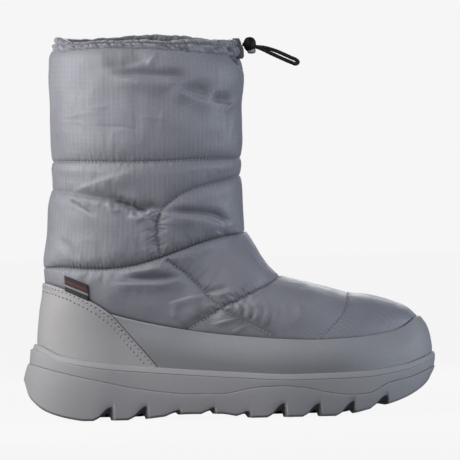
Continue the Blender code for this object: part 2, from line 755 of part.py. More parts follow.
def add_cord(name, middle, collection):
    """The drawcord: out of the tab, through the lock, round the loop and back."""
    there = np.stack((LOOP["x"], LOOP["aside"], LOOP["above"]), axis=-1)
    bend = np.stack((LOOP_END["x"], 0 * LOOP_END["x"], LOOP_END["z"]), axis=-1)
    back = np.stack((LOOP["x"], -LOOP["aside"], LOOP["below"]), axis=-1)[::-1]
    path = np.concatenate((there, bend, back)) + (0, 0, LOCK["z"])
    knots = {"t": np.arange(len(path), dtype=float), "x": path[:, 0], "y": path[:, 1], "z": path[:, 2]}
    fine = np.linspace(0, len(path) - 1, round(1.5 * len(path)))
    points = np.stack([through(knots, "t", axis)(fine) for axis in "xyz"], axis=-1)
    curve = bpy.data.curves.new(name, "CURVE")
    curve.dimensions = "3D"
    curve.bevel_depth = CORD / 2 * MM
    curve.bevel_resolution = 2
    curve.use_fill_caps = True
    spline = curve.splines.new("POLY")
    spline.points.add(len(points) - 1)
    for point, place in zip(spline.points, (points - middle) * MM):
        point.co = (*place, 1.0)
    piece = bpy.data.objects.new(name, curve)
    collection.objects.link(piece)
    curve.materials.append(add_material(name))
    return piece


def main():
    """Build every piece, centred on the boot's own length and width."""
    for piece in list(bpy.data.objects):
        bpy.data.objects.remove(piece, do_unlink=True)
    boot = bpy.data.collections.new("down_boot")
    cutters = bpy.data.collections.new("cutters")
    for collection in (boot, cutters):
        bpy.context.scene.collection.children.link(collection)

    upper, rim, rim_normal = make_upper()
    pads, pockets = make_pads()
    solids = {**make_sole(), **upper, **make_overlays(), **pads}
    solids.update(make_casing(rim, rim_normal))
    solids.update(make_tab())
    solids["cord_lock"] = lock_solid()
    everything = np.concatenate([points for points, faces in solids.values()])
    low, high = everything.min(axis=0), everything.max(axis=0)
    middle = np.array(((low[0] + high[0]) / 2, (low[1] + high[1]) / 2, low[2]))

    pieces = {name: add_solid(name, solid, middle, boot) for name, solid in solids.items()}
    add_cord("drawcord", middle, boot)
    add_cut(pieces["outsole"], add_solid("edge_notches", make_notches(), middle, cutters))
    add_cut(pieces["outsole"], add_solid("pad_pockets", pockets, middle, cutters))
    add_cut(pieces["cord_lock"], add_solid("cord_slot", slot_solid(), middle, cutters))


main()
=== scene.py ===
"""Looks of a down boot: quilted nylon, gathered collar, coated rand and counter, lugged sole.

Tables are in millimetres in the boot's own sizes: x from the back of the heel to the toe, y from the
outer side (minus) to the inner side (plus), z up from the floor. Meshes are in metres, in the part's frame.
"""
import itertools
import math

import bmesh
import bpy
import numpy as np
from mathutils import Matrix, Vector


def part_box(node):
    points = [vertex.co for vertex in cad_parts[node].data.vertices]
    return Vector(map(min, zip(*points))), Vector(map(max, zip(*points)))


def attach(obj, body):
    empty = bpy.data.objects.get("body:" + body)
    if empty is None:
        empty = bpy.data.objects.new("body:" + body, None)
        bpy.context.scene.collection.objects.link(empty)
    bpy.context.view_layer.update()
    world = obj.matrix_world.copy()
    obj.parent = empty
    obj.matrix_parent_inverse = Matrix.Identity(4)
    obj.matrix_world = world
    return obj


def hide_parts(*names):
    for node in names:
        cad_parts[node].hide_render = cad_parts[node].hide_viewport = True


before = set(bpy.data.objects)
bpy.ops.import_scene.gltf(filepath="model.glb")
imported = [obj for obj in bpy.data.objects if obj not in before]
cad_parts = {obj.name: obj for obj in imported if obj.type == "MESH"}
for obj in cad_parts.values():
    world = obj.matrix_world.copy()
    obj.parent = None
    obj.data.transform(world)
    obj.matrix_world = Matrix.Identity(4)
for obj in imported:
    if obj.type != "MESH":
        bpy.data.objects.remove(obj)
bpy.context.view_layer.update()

bl_info = {
    "name": "Down Boot",
    "version": (1, 0, 0),
    "blender": (4, 5, 0),
    "location": "View3D > Sidebar > Down Boot",
    "description": "Dresses the solids of a quilted winter boot with cloth, stitches, rubber and light",
    "category": "Object",
}

MM = 0.001


def table(columns, *rows):
    """Return one array for each named column."""
    return {name: np.array([row[i] for row in rows], float) for i, name in enumerate(columns.split())}


# Last: plan of the foot, crown line and shaft, as in the part's own tables
HEEL_BACK = 11.1
TOE_TIP = 287.0
HEEL_ROUND_END = 62.0
TOE_ROUND_START = 208.0
TOE_POWER = 2.3
HEEL_BLEND = 125.0
PLAN = table(
    "x centre half", (12, 0, 35.4), (48, 0, 35.6), (68, -0.4, 36), (90, -1.2, 37.2), (118, -2, 39.2),
    (150, -1.6, 42.8), (195, 0, 48.3), (225, 3, 48.4), (260, 6.5, 47), (287, 8.5, 46),
)
SIDE_WALL_TOP = 40.0
CROWN_POWER = 2.3
CROWN_BEHIND = 1.15
CROWN_CARRY = 50.0
SWING_LOW = 80.0
SWING_HIGH = 140.0
VAMP = table(
    "z x", (20, 287), (45, 287), (54, 285.9), (61.5, 283.5), (65.2, 281), (72.2, 275), (76.2, 269.6),
    (80.2, 259.5), (84.4, 245), (86.7, 229.5), (90.3, 216.3), (94.9, 199.5), (97.6, 189.5), (99.4, 184.5),
    (103.2, 178.2), (111.8, 170.6), (120.3, 165.8), (128.9, 160.6), (131.5, 158.6),
)
SHAFT_POWER = 2.15
BLEND_POWER = 10.0
SHAFT = table(
    "z back front half", (20, 11.1, 100, 20), (55, 11.1, 116, 28), (76, 12.9, 130, 36),
    (96, 15.8, 143, 41.5), (112, 15, 150, 45.2), (132, 18, 157.8, 48.5), (150, 19.2, 157.2, 50.5),
    (172, 22, 157, 52), (195, 22, 157.8, 53.2), (220, 22, 157.9, 54), (240, 21.6, 160, 54),
    (250, 21.9, 158.6, 53.2), (257, 22.2, 156, 51.6), (263, 24.4, 152.8, 49),
)
RING_NAMES = ("floor", "ankle", "lower_baffle", "upper_baffle", "collar")
RINGS = table(
    "back_z front_z sag deepest", (32.3, 33.3, -11.7, 0.66), (108.4, 131.2, -10, 0.42),
    (163.4, 170.8, -20.5, 0.575), (183.2, 183.5, -1.5, 0.50), (262.3, 257, 3, 0.42),
)
WALL = 7.0
INNER_GAP = 1.2
GAP = 0.3

# Overlays
OVERLAY_GAP = 0.4
OVERLAY_UNDER = 0.25
OVERLAY_OVER = 0.1
OVERLAY_EDGE = 1.3
OVERLAY_NARROW = (8.0, 30.0)
OVERLAY_MORE = {"heel": 0.2, "toe": 0.5}
OVERLAY_SHOWN = 1.2
OVERLAY_SINK = 0.6
TUCK = 4.0
TUCK_CLEAR = 1.0
BUTT = 0.45
COUNTER_END = 94.0
SLOPE_STEP = 0.1
# Grids of the overlays, the painted shade at the rand's foot, and the counter's stitches with the painted
# shade of their holes
LAY_ROUNDS = 6
COUNTER_GRID = {"columns": 321, "rows": 56, "crowd": 1.7}
RAND_GRID = {"columns": 561, "rows": 44, "crowd": 1.6}
EDGE_CROWD = 1.9
RAND_SCAN = (56.0, 110.0, 900)
RAND_SHADE = {"down": (4.0, 26.0), "ahead": (215.0, 262.0)}
COUNTER_STITCH = {"pitch": 3.5, "long": 2.3, "wide": 0.75, "tall": 0.7, "lean": 0.55}
COUNTER_HOLE = {"ahead": 1.45, "sunk": 0.1, "long": 1.25, "wide": 1.0, "tall": 0.5}
LINE_BLUR = 9
# Top edges of rand and counter in the side view
RAND_TOP = table(
    "x z", (55, 77.4), (61.7, 75.4), (89.8, 68), (139.8, 59.1), (188.5, 55.1), (206, 54.4),
    (233.5, 55.5), (249.3, 57.2), (261.2, 59.5), (270, 62.6), (277, 67.4), (287, 69.8),
)
COUNTER_TOP = table(
    "x z", (12, 99), (22.5, 96.1), (45.8, 85.9), (61.7, 75.4), (75.8, 59.6), (94, 38),
)

# Sole
CUP = 2.3
STEP = 0.8
WRAP = 3.5
LIP_HEIGHT = 4.2
GROOVE = 0.45
BASE = 12.0
BASE_BELOW_PARTING = 1.5
BASE_BELOW_FLOOR = 3.5
HEEL_REACH = 0.13
TOE_REACH = 0.16
JOINT = table(
    "x z", (0, 56), (10.5, 54), (25.7, 46.5), (54.7, 40.8), (94.7, 36.8), (147.8, 32.7),
    (192, 30.2), (236, 30.9), (268.7, 35.2), (280, 38.7), (291, 43.6),
)
PARTING = table(
    "x z", (0, 42), (27, 34.3), (56.5, 27.3), (86, 21.2), (120.7, 17.6), (138.3, 17.4), (165, 21.4),
    (181.5, 22), (197.7, 20.6), (213.9, 17), (230, 15), (243, 15.6), (257, 22.4), (273.5, 26.4), (291, 33.6),
)
BOTTOM = table(
    "x z", (0, 28.5), (2, 19.6), (6, 13.9), (13, 8.1), (21.5, 4.4), (33, 1.4), (43, 0), (79, 0),
    (92, 1.3), (115, 3.4), (138, 3.2), (153, 0.8), (160, 0), (222, 0), (232, 1.6), (245, 4.6),
    (258, 7.7), (270, 12), (281, 18.4), (287.4, 24.8), (291, 32),
)
STAND_OFF = {
    "tread": (2.2, 9.8, -0.8), "edge": (3.8, 11.9, 1.3), "parting": (5.4, 8.4, 3.9),
    "groove": (5, 6.6, 4.1), "lip": (5.2, 5.2, 4.3), "rim": (3.9, 3.7, 3.4), "plan": (0, 0, 0),
}
NOTCHES = table(
    "end run depth", (63.6, 15.2, 9.2), (88, 15.2, 8.6), (110.9, 12, 3.2), (135.4, 11, 4.2),
    (160, 11, 4.4), (185.5, 14.6, 9.2), (209.8, 13.8, 8.6), (233.8, 14.4, 8.2), (257, 13.4, 6.5),
)
NOTCH_SHAPE = table(
    "share rise", (0, 0), (0.1, 0.08), (0.23, 0.25), (0.42, 0.56), (0.58, 0.82), (0.72, 0.96), (0.83, 1),
    (0.92, 0.96), (0.97, 0.78), (1, 0),
)
NOTCH_SLANT = 0.45
NOTCH_IN = 20.0
# Rings of the sole from one end of its section to the other: stand-off, shift, height line, lift and radius
MIDSOLE_ROWS = (
    ("parting", -WRAP - GAP, "base", GAP, 0), ("parting", -WRAP - GAP, "parting", 0.08 - GAP / 2, 0),
    ("parting", -STEP, "parting", 0.08 - GAP / 2, 0.7), ("groove", 0, "lip", -GROOVE, 0.5),
    ("groove", -GROOVE, "lip", 0, 0.3), ("lip", 0, "lip", GROOVE / 2, 0.8), ("rim", 0, "joint", 0.2, 1.6),
    ("plan", CUP, "joint", 0, 0.3), ("plan", CUP, "floor", 0, 0),
)
# Rings of the outsole under its edge: share of the way in, share of the notch's height, lean of its steep end
TREAD_ROWS = ((0.0, 1.0, 1.5), (0.15, 0.86, 4.0), (0.3, 0.64, 6.0), (0.45, 0.5, 7.0), (1.0, 0.5, 7.0))
TREAD_MIDDLE = {"in": 1.0, "up": 2.0}
OUTSOLE_RADII = (0.0, 0.0, 0.8, 4.0, 0.6, 0.5, 1.5, 1.5, 1.0, 0.0, 0.0)
OUTSOLE_EDGE = {"up": 1.4, "less": 1.1, "from": 0.4, "to": 3.0}
OUTSOLE_BULGE = {"out": 0.6, "share": 0.55, "over_notch": 2.8, "under_top": 1.6}
CORNER_SHARE = 0.48
CORNER_STEPS = 5
PAD_INSET = 11.0
PAD_DEPTH = 8.5
PAD_LIFT = 2.2
PAD_GROOVE = 3.0
PAD_CHEVRON = 7.0
PAD_CUT = (0.28, 0.38)
PAD_SIDE = 0.04
PAD_END = (1.5, 4.0)
PAD_GRID = (240, 80)
PADS = table("start end lugs", (45, 148, 9), (164, 252, 8))

# Seams of the side view that don't run round the boot
SEAMS = {
    "cinch": table(
        "x z", (19.5, 163.6), (32.8, 161.6), (48.2, 158.6), (63, 155.6), (72, 151.8), (82, 147.6),
        (91, 149.2), (99.2, 147.7),
    ),
    "arc": table(
        "x z", (97.4, 146.9), (102.6, 150), (108.4, 154.6), (114.1, 158.3), (122.7, 161.9), (135.1, 165.5),
        (146.5, 168.4), (157, 171.2),
    ),
    "upright": table("x z", (99.4, 147.1), (96.2, 132.3), (98.5, 116)),
    "forward": table("x z", (103.4, 111.7), (122.2, 97.2), (140.9, 77.8), (175.8, 58)),
    "rearward": table("x z", (116.6, 63.4), (140.9, 77.8), (171.6, 93.4), (182.5, 100.5)),
    "toe": table(
        "x z", (207.7, 54.7), (215.2, 60.9), (222.6, 68.1), (227.5, 75.2), (229.3, 79.3), (230.3, 86.6),
    ),
}
# How each seam draws the cloth in: depth of its valley, reach to the left and to the right of the line's own
# direction, depth of its stitched line, height and spacing of the puckers across it, their two reaches, the
# share of the valley that is left where the cloth turns away at the outline, and of the cloth's own puckers
SEAM_LOOKS = {
    "ankle": (4.2, 13, 8, 1, 0.5, 3.2, 6, 3.5, 0.1, 0.3),
    "cinch": (4.6, 26, 10, 0.3, 0.8, 5, 4, 6, 0.5, 0.22),
    "arc": (4.2, 18, 11, 0.9, 0.3, 4.4, 4, 5, 0.5, 0.18),
    "upper_baffle": (3.6, 16, 11, 0.9, 0.6, 3.4, 7, 3, 0.5, 0.16),
    "collar": (1.6, 9, 12, 0.4, 0.5, 5.5, 6, 6, 0.5, 0.05),
    "upright": (3.4, 11, 13, 0.7, 0.6, 4.6, 7, 10, 0.5, 0.4),
    "forward": (2.8, 12, 12, 0.8, 0.5, 3.6, 5, 6, 0.5, 0.24),
    "rearward": (3.4, 14, 10, 0.9, 0.7, 3.2, 7, 6, 0.5, 0.25),
    "toe": (1.7, 11, 9, 0.6, 0.15, 5, 5, 5, 0.2, 0.06),
    "rand": (0.6, 5, 9, 0, 0.2, 5, 7, 7, 0, 0.03),
}
OWN_REACH = 4.0
OWN_LIMIT = 0.9
OWN_SHADE = 0.45
# Places where the thread is drawn tight and the puckers crowd together
CLUSTERS = table(
    "x z radius gain", (84, 183, 26, 0.7), (82, 149, 11, 0.8), (97, 131, 14, 0.8), (145, 81, 14, 1),
    (160, 88, 10, 0.7), (158, 68, 13, 0.7), (124, 70, 12, 0.6), (60, 108, 30, 0.6), (145, 258, 12, 0.8),
)
PUCKER_BASE = 0.35
# Small pulls at every needle hole, dipped in and darkened by painted shade: pitch of the stitches, depth, and
# how strongly each seam shows them
STITCH = 2.8
TICK_DEPTH = 0.42
STITCH_LIFT = 0.2
TICK_REACH = (3.8, 1.4)
TICKS = {
    "ankle": 2, "upper_baffle": 0.9, "arc": 0.35, "upright": 0.6,
    "forward": 0.5, "rearward": 1.4, "toe": 0.2,
}
# Quilting: the valley's roundness, the stitched line's width and wandering, the puckers' slant and fading,
# the creases' ends and two flanks, the lumps of the filling, and how much painted shade each of them puts in
# a fold
FAR = 1e9
VALLEY_ROUND = 0.998
SEAM_HANDOVER = 2.5
LINE_WIDTH = 0.55
LINE_WANDER = 0.5
LINE_RUN = 3.1
PUCKER_SLANT = 0.25
PUCKER_RUN = 14.0
PUCKER_CELL = 0.6
PUCKER_POWER = 0.65
PUCKER_MEAN = 0.9
UNEVEN = 0.6
UNEVEN_RUN = 9.0
UNEVEN_CELL = 0.7
FADE_POWER = 1.3
FADE_AT_LINE = 0.7
SIDE_SHIFT = 9.0
TURN_SHIFT = 40.0
CREASE_EASE = 0.3
CREASE_LEAN = (0.45, 1.6)
LUMPS = ((0.9, 30.0, 3), (0.4, 13.0, 4))
LUMPS_AT_OUTLINE = 0.25
CRINKLE = 0.22
CRINKLE_CELL = (7.0, 7.0, 15.0)
AWAY = 14.0
FACING = (10.0, 34.0)
SHADE = {"valley": 0.125, "pucker": 0.325, "crease": 0.3, "line": 0.45, "ticks": 0.4}
DEEP_CREASE_SHADE = (2.6, 4.4)

# Main creases, listed one by one: side, half width, height and the points that each one runs through
CREASES = (
    (-1, 6, -1.8, (57.3, 250.5), (71.9, 251), (86.5, 254), (94.7, 257.9)),
    (-1, 2.8, -2.6, (64.5, 244.9), (82.3, 244.6), (98.5, 243.5), (126.8, 242.1)),
    (-1, 4, 2.6, (62.4, 241.2), (82.2, 239.7), (102.5, 237.2), (126.7, 237.9)),
    (-1, 4, -2.4, (108.6, 236.2), (126.7, 231.3), (139.7, 227.2)),
    (-1, 3.8, 1.8, (104.9, 234.1), (125, 226), (139, 220.4)),
    (-1, 2.2, 1.2, (131.3, 225.3), (143.9, 234.4)),
    (-1, 3.2, -2, (135.1, 225.4), (152, 222.7)),
    (-1, 2.2, 1, (143.9, 215.3), (155.8, 226.1)),
    (-1, 2, 1, (91.2, 249.4), (99, 258.8)),
    (-1, 1.2, 0.35, (47.4, 220.7), (66.8, 222.9)),
    (-1, 1.3, 0.2, (28.6, 214.6), (45.3, 217), (64.7, 220.2)),
    (-1, 1.2, 0.2, (27.9, 211.9), (39.5, 211.9), (51.1, 206.6)),
    (-1, 1.3, -0.45, (53.6, 207.3), (74.3, 206.1), (91.8, 201.4)),
    (-1, 1.2, 0.35, (83.8, 214.5), (107.2, 212)),
    (-1, 5, 1.3, (30.8, 160.2), (60.6, 169.5), (88.7, 177.9)),
    (-1, 2.6, -1.6, (30.8, 162.4), (48.2, 158.6), (66, 155.1), (80.5, 149.2), (95.7, 149.6)),
    (-1, 2.4, 1.3, (35.2, 159.2), (52.2, 155.2), (64.4, 152.3)),
    (-1, 2, 1.5, (30.8, 162.4), (42.5, 154.7), (53, 144.6)),
    (-1, 2.2, -1.4, (33.2, 155.8), (45.6, 148.8), (54, 143.6)),
    (-1, 1.8, -3.9, (60, 156.4), (66.5, 154), (71.5, 153.4), (76, 151.4), (79.5, 150.8), (83.5, 148),
     (88, 147.4), (92.5, 149.4), (97.5, 149.2), (101.5, 150.6)),
    (-1, 1.2, 1.3, (73.6, 155.8), (73.2, 150.4)),
    (-1, 1.1, 1.5, (79.6, 154.6), (79.4, 149)),
    (-1, 1.2, 1.2, (90.6, 152.6), (90, 147.6)),
    (-1, 1.7, 1.5, (62, 157), (65.2, 149.8), (73.3, 148.6)),
    (-1, 1.8, 1.9, (76.9, 147.7), (82.6, 143), (90.3, 145.6)),
    (-1, 1.6, 1.5, (88.3, 145), (94.1, 148.2), (100.3, 147.4)),
    (-1, 2.2, -3, (101.1, 146.4), (121, 145.4), (135.6, 143.8), (151, 136)),
    (-1, 4.2, 2.3, (103, 142.4), (129, 139.8), (148.6, 132)),
    (-1, 2.2, -1.2, (136.6, 133), (148.6, 129.4)),
    (-1, 1.8, -1, (25.3, 128.9), (35.3, 121.6), (41, 111.4)),
    (-1, 2, 0.5, (23.3, 123.9), (31.3, 117.6), (36, 109.4)),
    (-1, 2.6, -2.6, (71.5, 100.9), (91.7, 98.9), (114.8, 100)),
    (-1, 2.6, 1.2, (68.3, 103), (87, 105.9), (102.5, 108.6)),
    (-1, 3.2, 1.2, (59.3, 96.2), (91.6, 95.4), (114.8, 97)),
    (-1, 1.8, 1.4, (130.5, 86.2), (150.3, 89.6)),
    (-1, 1.8, -1.4, (126.6, 88.7), (147.3, 92)),
    (-1, 2.2, 1.1, (100.3, 80.3), (119.8, 85.4), (130.8, 86.8)),
    (-1, 1.6, 0.8, (108.9, 82.4), (107, 69.5)),
    (-1, 1, 1.1, (151.5, 82.4), (153.8, 75.5), (151.6, 70.4)),
    (-1, 1, 1.2, (158, 82.7), (160.2, 75), (158.7, 67.4)),
    (-1, 1.1, 1.2, (163.8, 83.4), (167.1, 75.7), (162.7, 66.2)),
    (-1, 1.1, 1.1, (170, 87), (173.5, 75.6), (169.6, 61.5)),
    (-1, 1.2, 0.6, (177.5, 84), (180, 74.6), (176.6, 64.5)),
    (-1, 1.6, 1, (133.3, 66.1), (154.3, 71.4)),
    (-1, 1.5, 0.9, (144.7, 58.1), (157.4, 66.4)),
    (-1, 1.8, 0.5, (195.9, 80.6), (197.7, 68.1)),
    (-1, 4, -6, (145.5, 268), (150.2, 258.6), (154.2, 252.8), (157.6, 249.4), (162.5, 243)),
    (1, 6, -1.6, (44, 249), (66, 252), (92, 250)),
    (1, 3, -1.9, (72, 238), (98, 241), (132, 236)),
    (1, 3.4, 1.6, (70, 233), (100, 236), (130, 231)),
    (1, 2, 0.9, (36, 221), (62, 214), (84, 212)),
    (1, 1.8, -0.8, (88, 205), (118, 210), (142, 207)),
    (1, 2.6, -1.6, (34, 160), (56, 157), (78, 150)),
    (1, 2.4, 1.4, (40, 156), (58, 152), (76, 145)),
    (1, 3, -2, (104, 141), (126, 144), (146, 139)),
    (1, 2.8, 1.6, (106, 137), (128, 140), (144, 135)),
    (1, 2.6, -1.5, (30, 131), (44, 122), (50, 113)),
    (1, 2.8, -1.8, (66, 99), (88, 97), (108, 101)),
    (1, 1.6, 1.1, (160, 84), (164, 76), (160, 66)),
    (1, 1.4, 1, (168, 86), (171, 76), (167, 64)),
)

# Cloth and rand are drawn in along the rand's top edge: depth, reach above and below it, where it starts
TUCK_IN = {"depth": 4.6, "above": 24.0, "below": 20.0, "start": 95.0, "full": 130.0}
TUCK_POWER = 1.6
TUCK_SEEN = (14.0, 36.0)
# The vamp's lower edge under the overlays, the shade in the corner above them, and the turn of its cloth
VAMP_UNDER = 7.0
VAMP_SUNK = {"above": 1.0, "over": 3.0, "more": 0.4, "held": 0.4}
VAMP_SHADE = {"near": 0.9, "width": 1.3, "wide": 0.6, "reach": 12.0, "ahead": (170.0, 215.0)}
VAMP_TURN = math.radians(-7)
EDGE_RUNS = ((12.5, 60.0, 24), (62.0, 276.0, 70))

# Cloth that finds its own puckers: it is cut larger than the boot, sewn down in the seams and pushed out by
# the filling. It is worked out ten times as large, on every second point of the grid, and only what differs
# from its mean along the ring is kept, so that the boot's own form stays as it is
DEEPEST = 4.6
ROUGH_START = 0.25
ROUGH_CELL = 2.5
SETTLE_SCALE = 10.0
SETTLE_FRAMES = 16
SETTLE_LIMIT = 3.2
SETTLE_MEAN = 5
SEWN_WITHIN = 1.1
CLOTH_PROPERTIES = {
    "quality": 4, "mass": 0.02, "air_damping": 1.5, "tension_stiffness": 40.0, "compression_stiffness": 40.0,
    "shear_stiffness": 10.0, "bending_stiffness": 0.01, "tension_damping": 1.0, "compression_damping": 1.0,
    "shrink_min": -0.1, "use_pressure": True, "uniform_pressure_force": 40.0,
}

# Collar casing: section of the gathered band, its height on both sides, and the drawcord's tab and lock
CASING = table(
    "inset rise gather", (4.0, -2.2, 0.0), (2.2, -1.0, 0.3), (1.2, 0.9, 0.7), (1.0, 2.6, 1.0),
    (1.6, 4.0, 1.0), (2.9, 4.8, 0.7), (3.9, 5.1, 0.4), (3.3, 6.0, 0.7), (2.9, 7.3, 1.0), (3.5, 8.6, 1.0),
    (5.1, 9.3, 0.9), (6.8, 9.1, 0.8), (8.2, 7.9, 0.8), (8.8, 5.6, 0.7), (8.5, 3.0, 0.5), (7.8, 0.4, 0.2),
    (6.4, -1.6, 0.0),
)
CASING_TALL = table(
    "share near far", (0.0, 0.92, 0.95), (0.04, 0.72, 0.93), (0.10, 0.52, 0.85), (0.21, 0.48, 0.74),
    (0.35, 0.52, 0.93), (0.47, 0.57, 1.08), (0.60, 0.64, 1.22), (0.72, 0.82, 1.23), (0.82, 1.0, 1.18),
    (0.92, 1.06, 1.08), (1.0, 1.1, 1.1),
)
# Noise of the gathers: cells round the ring, across and along the section, power, mean, share and seed
GATHERS = (((2.1, 1.0, 1.3), 0.8, 0.8, 0.5, 31), ((4.8, 1.0, 1.7), 0.7, 0.9, 0.9, 34))
GATHERS_SLOW = ((11.0, 1.0, 2.2), 0.5, 32)
CASING_UNEVEN = ((16.0, 1.0, 30.0), 0.10, 33)
CASING_GRID = {"half": 420, "rows": 44, "lean": 0.6, "spread": 0.22, "lift": 0.35}
CASING_FRONT = {"out": 3.4, "from": 0.88, "to": 0.99}
CASING_PINCH = {"x": 150.2, "width": 1.3, "depth": 2.6}
CASING_CLOTH = (1.4, 1.6)
CASING_SHADE = {"gather": 1.1, "most": 1.2, "inside": 1.7, "rows": (11.0, 13.0)}
TAG = {"back": (31.0, 92.0), "front": (47.2, 84.8), "height": 11.4, "thick": 0.9, "off": 1.0, "cloth": 17.5}
TAG_GRID = (25, 41)
TAG_EDGE = {"power": 12, "thin": 0.06}
TAG_CURL = {"rise": 0.5, "flat": 0.3, "wave": 0.25, "turns": 5.0}
# Stripes of the tag: height of the middle, half width, in metres
TAG_STRIPES = {"dark_stripe": (0.0076, 0.0011), "pale_stripe": (0.0044, 0.0008)}
TAB = table(
    "z half puff", (253.4, 3.6, 1.6), (254.6, 6.0, 3.2), (257.5, 7.4, 4.4), (260.5, 7.6, 4.2),
    (263, 7.6, 3.0), (266, 7.6, 2.2), (268, 7.4, 1.2),
)
TAB_SINK = 3.0
TAB_UPRIGHT = 257.0
TAB_GRID = (40, 33)
LOCK = {"x": 164.7, "z": 263.6, "long": 8.8, "wide": 9.0, "tall": 10.4}
LOCK_FORM = {"rows": 44, "columns": 48, "power": 2.5, "root": 2.2}
BUTTON = {"x": 165.8, "z": 259.0, "long": 6.0, "wide": 6.0, "tall": 4.4}
BUTTON_FORM = {"rows": 20, "columns": 40, "power": 3.0, "root": 3.0}
# Grooves of the lock: height as a share, depth and width
LOCK_GROOVES = ((0.62, 0.06, 0.05), (-0.7, 0.03, 0.05))
POLE = 0.05
CORD = 2.6
BRAID = {"pitch": 5.2, "strands": 4, "sunk": 0.04, "raised": 0.12, "columns": 24, "rows": 200}
LOOP = table(
    "x above below aside", (159.4, 0.1, 0.1, 1.5), (164.7, -1.0, -1.0, 1.5), (169.5, -1.9, -2.1, 1.5),
    (174.0, -2.4, -4.0, 1.3), (179.0, -3.7, -6.6, 0.8), (184.0, -5.5, -9.0, 0.3), (189.0, -7.8, -11.4, 0.0),
    (193.5, -10.0, -13.4, 0.0),
)
LOOP_END = table("x z", (197.0, -11.6), (198.6, -13.3), (196.9, -14.7))

# Stage: width of the camera's sensor in millimetres, and rings of the floor in metres
SENSOR = 36.0
FLOOR_REACH = (0.05, 0.3, 0.8, 2.0, 5.0, 12.0)
FLOOR_COLUMNS = 96
FLOOR_TONES = (0.03, 0.032)
# Strength of floor and background as a light, and the floor's as a share of the pale tone that is seen
FLOOR_GLOW = (0.05, 0.985)
WORLD_GLOW = 0.01
# Soft lights: turn from the camera's side and rise in degrees, distance in metres, power and tint
LIGHT_SIZE = 0.7
LIGHT_AIM = 0.13
LIGHTS = (
    ("key_light", -57, 26, 0.65, 5.5, (1.0, 0.985, 0.965)),
    ("heel_light", -88, 6, 1.6, 8.0, (1.0, 0.985, 0.965)),
    ("front_light", 40, 8, 1.6, 4.0, (0.86, 0.92, 1.0)),
    ("toe_light", 65, 4, 1.6, 6.0, (0.86, 0.92, 1.0)),
    ("toe_back_light", 90, 8, 1.6, 9.0, (0.86, 0.92, 1.0)),
    ("back_light", 170, 25, 1.6, 9.0, (0.95, 0.97, 1.0)),
)

# Grids: columns on each side of the boot, and rows of each band
CLOTH_HALF = 240
SHAFT_ROWS = {"lower_baffle": 62, "upper_baffle": 36, "collar": 90}
VAMP_ROWS = 177
INNER_ROWS = 12
SOLE_COLUMNS = 1440
PLAN_COLUMNS = 600
LINING_GRID = {"half": 90, "rows": 22, "pile": 0.35, "cell": 3.0, "seed": 21, "thick": 2.0}
# Lattice of the noise, small rods of thread, and lines laid on the cloth
LATTICE = 32
LATTICE_SHIFT = 512.0
ROD_POWER = 2.6
ROD_END = 0.12
ROD_ROWS = 7
ROD_COLUMNS = 8
LOOK_AHEAD = 0.4
CLOSE_TO_LINE = 0.6

# Skins: roughness, scale and cells of the grain, depth of the bump in metres and spread of the tone
SKINS = {
    "elastic_braid": (0.62, 900.0, 0.8, 0.0002, 0.05),
    "lock_plastic": (0.6, 700.0, 0.3, 0.00004, 0.05),
    "button_plastic": (0.5, 700.0, 0.3, 0.00004, 0.05),
    "seam_thread": (0.7, 900.0, 0.6, 0.0001, 0.05),
    "fleece": (0.9, 500.0, 1.0, 0.0012, 0.15),
    "insole_felt": (0.9, 800.0, 0.6, 0.0005, 0.15),
    "counter_coated": (0.5, 520.0, 0.7, 0.00007, 0.03),
    "counter_thread": (0.65, 900.0, 0.6, 0.0001, 0.05),
    "stitch_holes": (0.9, 900.0, 0.6, 0.0001, 0.05),
    "rand_coated": (0.5, 520.0, 0.7, 0.00007, 0.03),
    "midsole_foam": (0.55, 420.0, 0.5, 0.00008, 0.03),
    "sole_rubber": (0.58, 420.0, 0.5, 0.00008, 0.03),
    "grip_rubber": (0.6, 500.0, 0.6, 0.0001, 0.05),
}
SKIN_SPECKS = (0.12, 0.86)
SKIN_ROUGH = (-0.06, 0.08)
# Tone of the painted shade at the rand's foot
RAND_FOOT_SHADE = 0.66
LOCK_GLOSS = 0.2
# Nylon: share and tone of the threads that catch the light, of the painted shade in folds and in deep folds,
# and its bump
NYLON = {"Warp": (0.33, 1.7), "Weft": (0.19, 1.6), "fold": (0.7, 0.42), "deep_fold": (0.85, 0.15)}
NYLON_TONES = (0.94, 1.06)
NYLON_ROUGH = (0.48, 0.58)
NYLON_BUMP = {"Weave": 0.012, "Warp": 0.08, "distance": 0.0005, "strength": 0.55}
WEAVE_TURNS = 9
THREAD_EDGE = (0.36, 0.48)
TAB_WEAVE = (0.0011, 1.6)
TAG_WEAVE = (0.0006, 1.8)


def through(rows, along, value):
    """Return a smooth function through two columns that never overshoots a row."""
    at = rows[along]
    level = rows[value]
    step = np.diff(at)
    slope = np.diff(level) / step
    turn = slope[1:] * slope[:-1] <= 0
    near = 2 * step[1:] + step[:-1]
    far = step[1:] + 2 * step[:-1]
    safe = np.where(slope == 0, 1.0, slope)
    mean = (near + far) / (near / safe[:-1] + far / safe[1:] + turn * 1e9)
    tangent = np.concatenate((slope[:1], np.where(turn, 0.0, mean), slope[-1:]))

    def value_at(query):
        q = np.clip(np.asarray(query, float), at[0], at[-1])
        k = np.clip(np.searchsorted(at, q, side="right") - 1, 0, len(step) - 1)
        t = (q - at[k]) / step[k]
        start = (1 + 2 * t) * (1 - t) ** 2 * level[k] + t * (1 - t) ** 2 * step[k] * tangent[k]
        end = t * t * (3 - 2 * t) * level[k + 1] + t * t * (t - 1) * step[k] * tangent[k + 1]
        return start + end

    return value_at


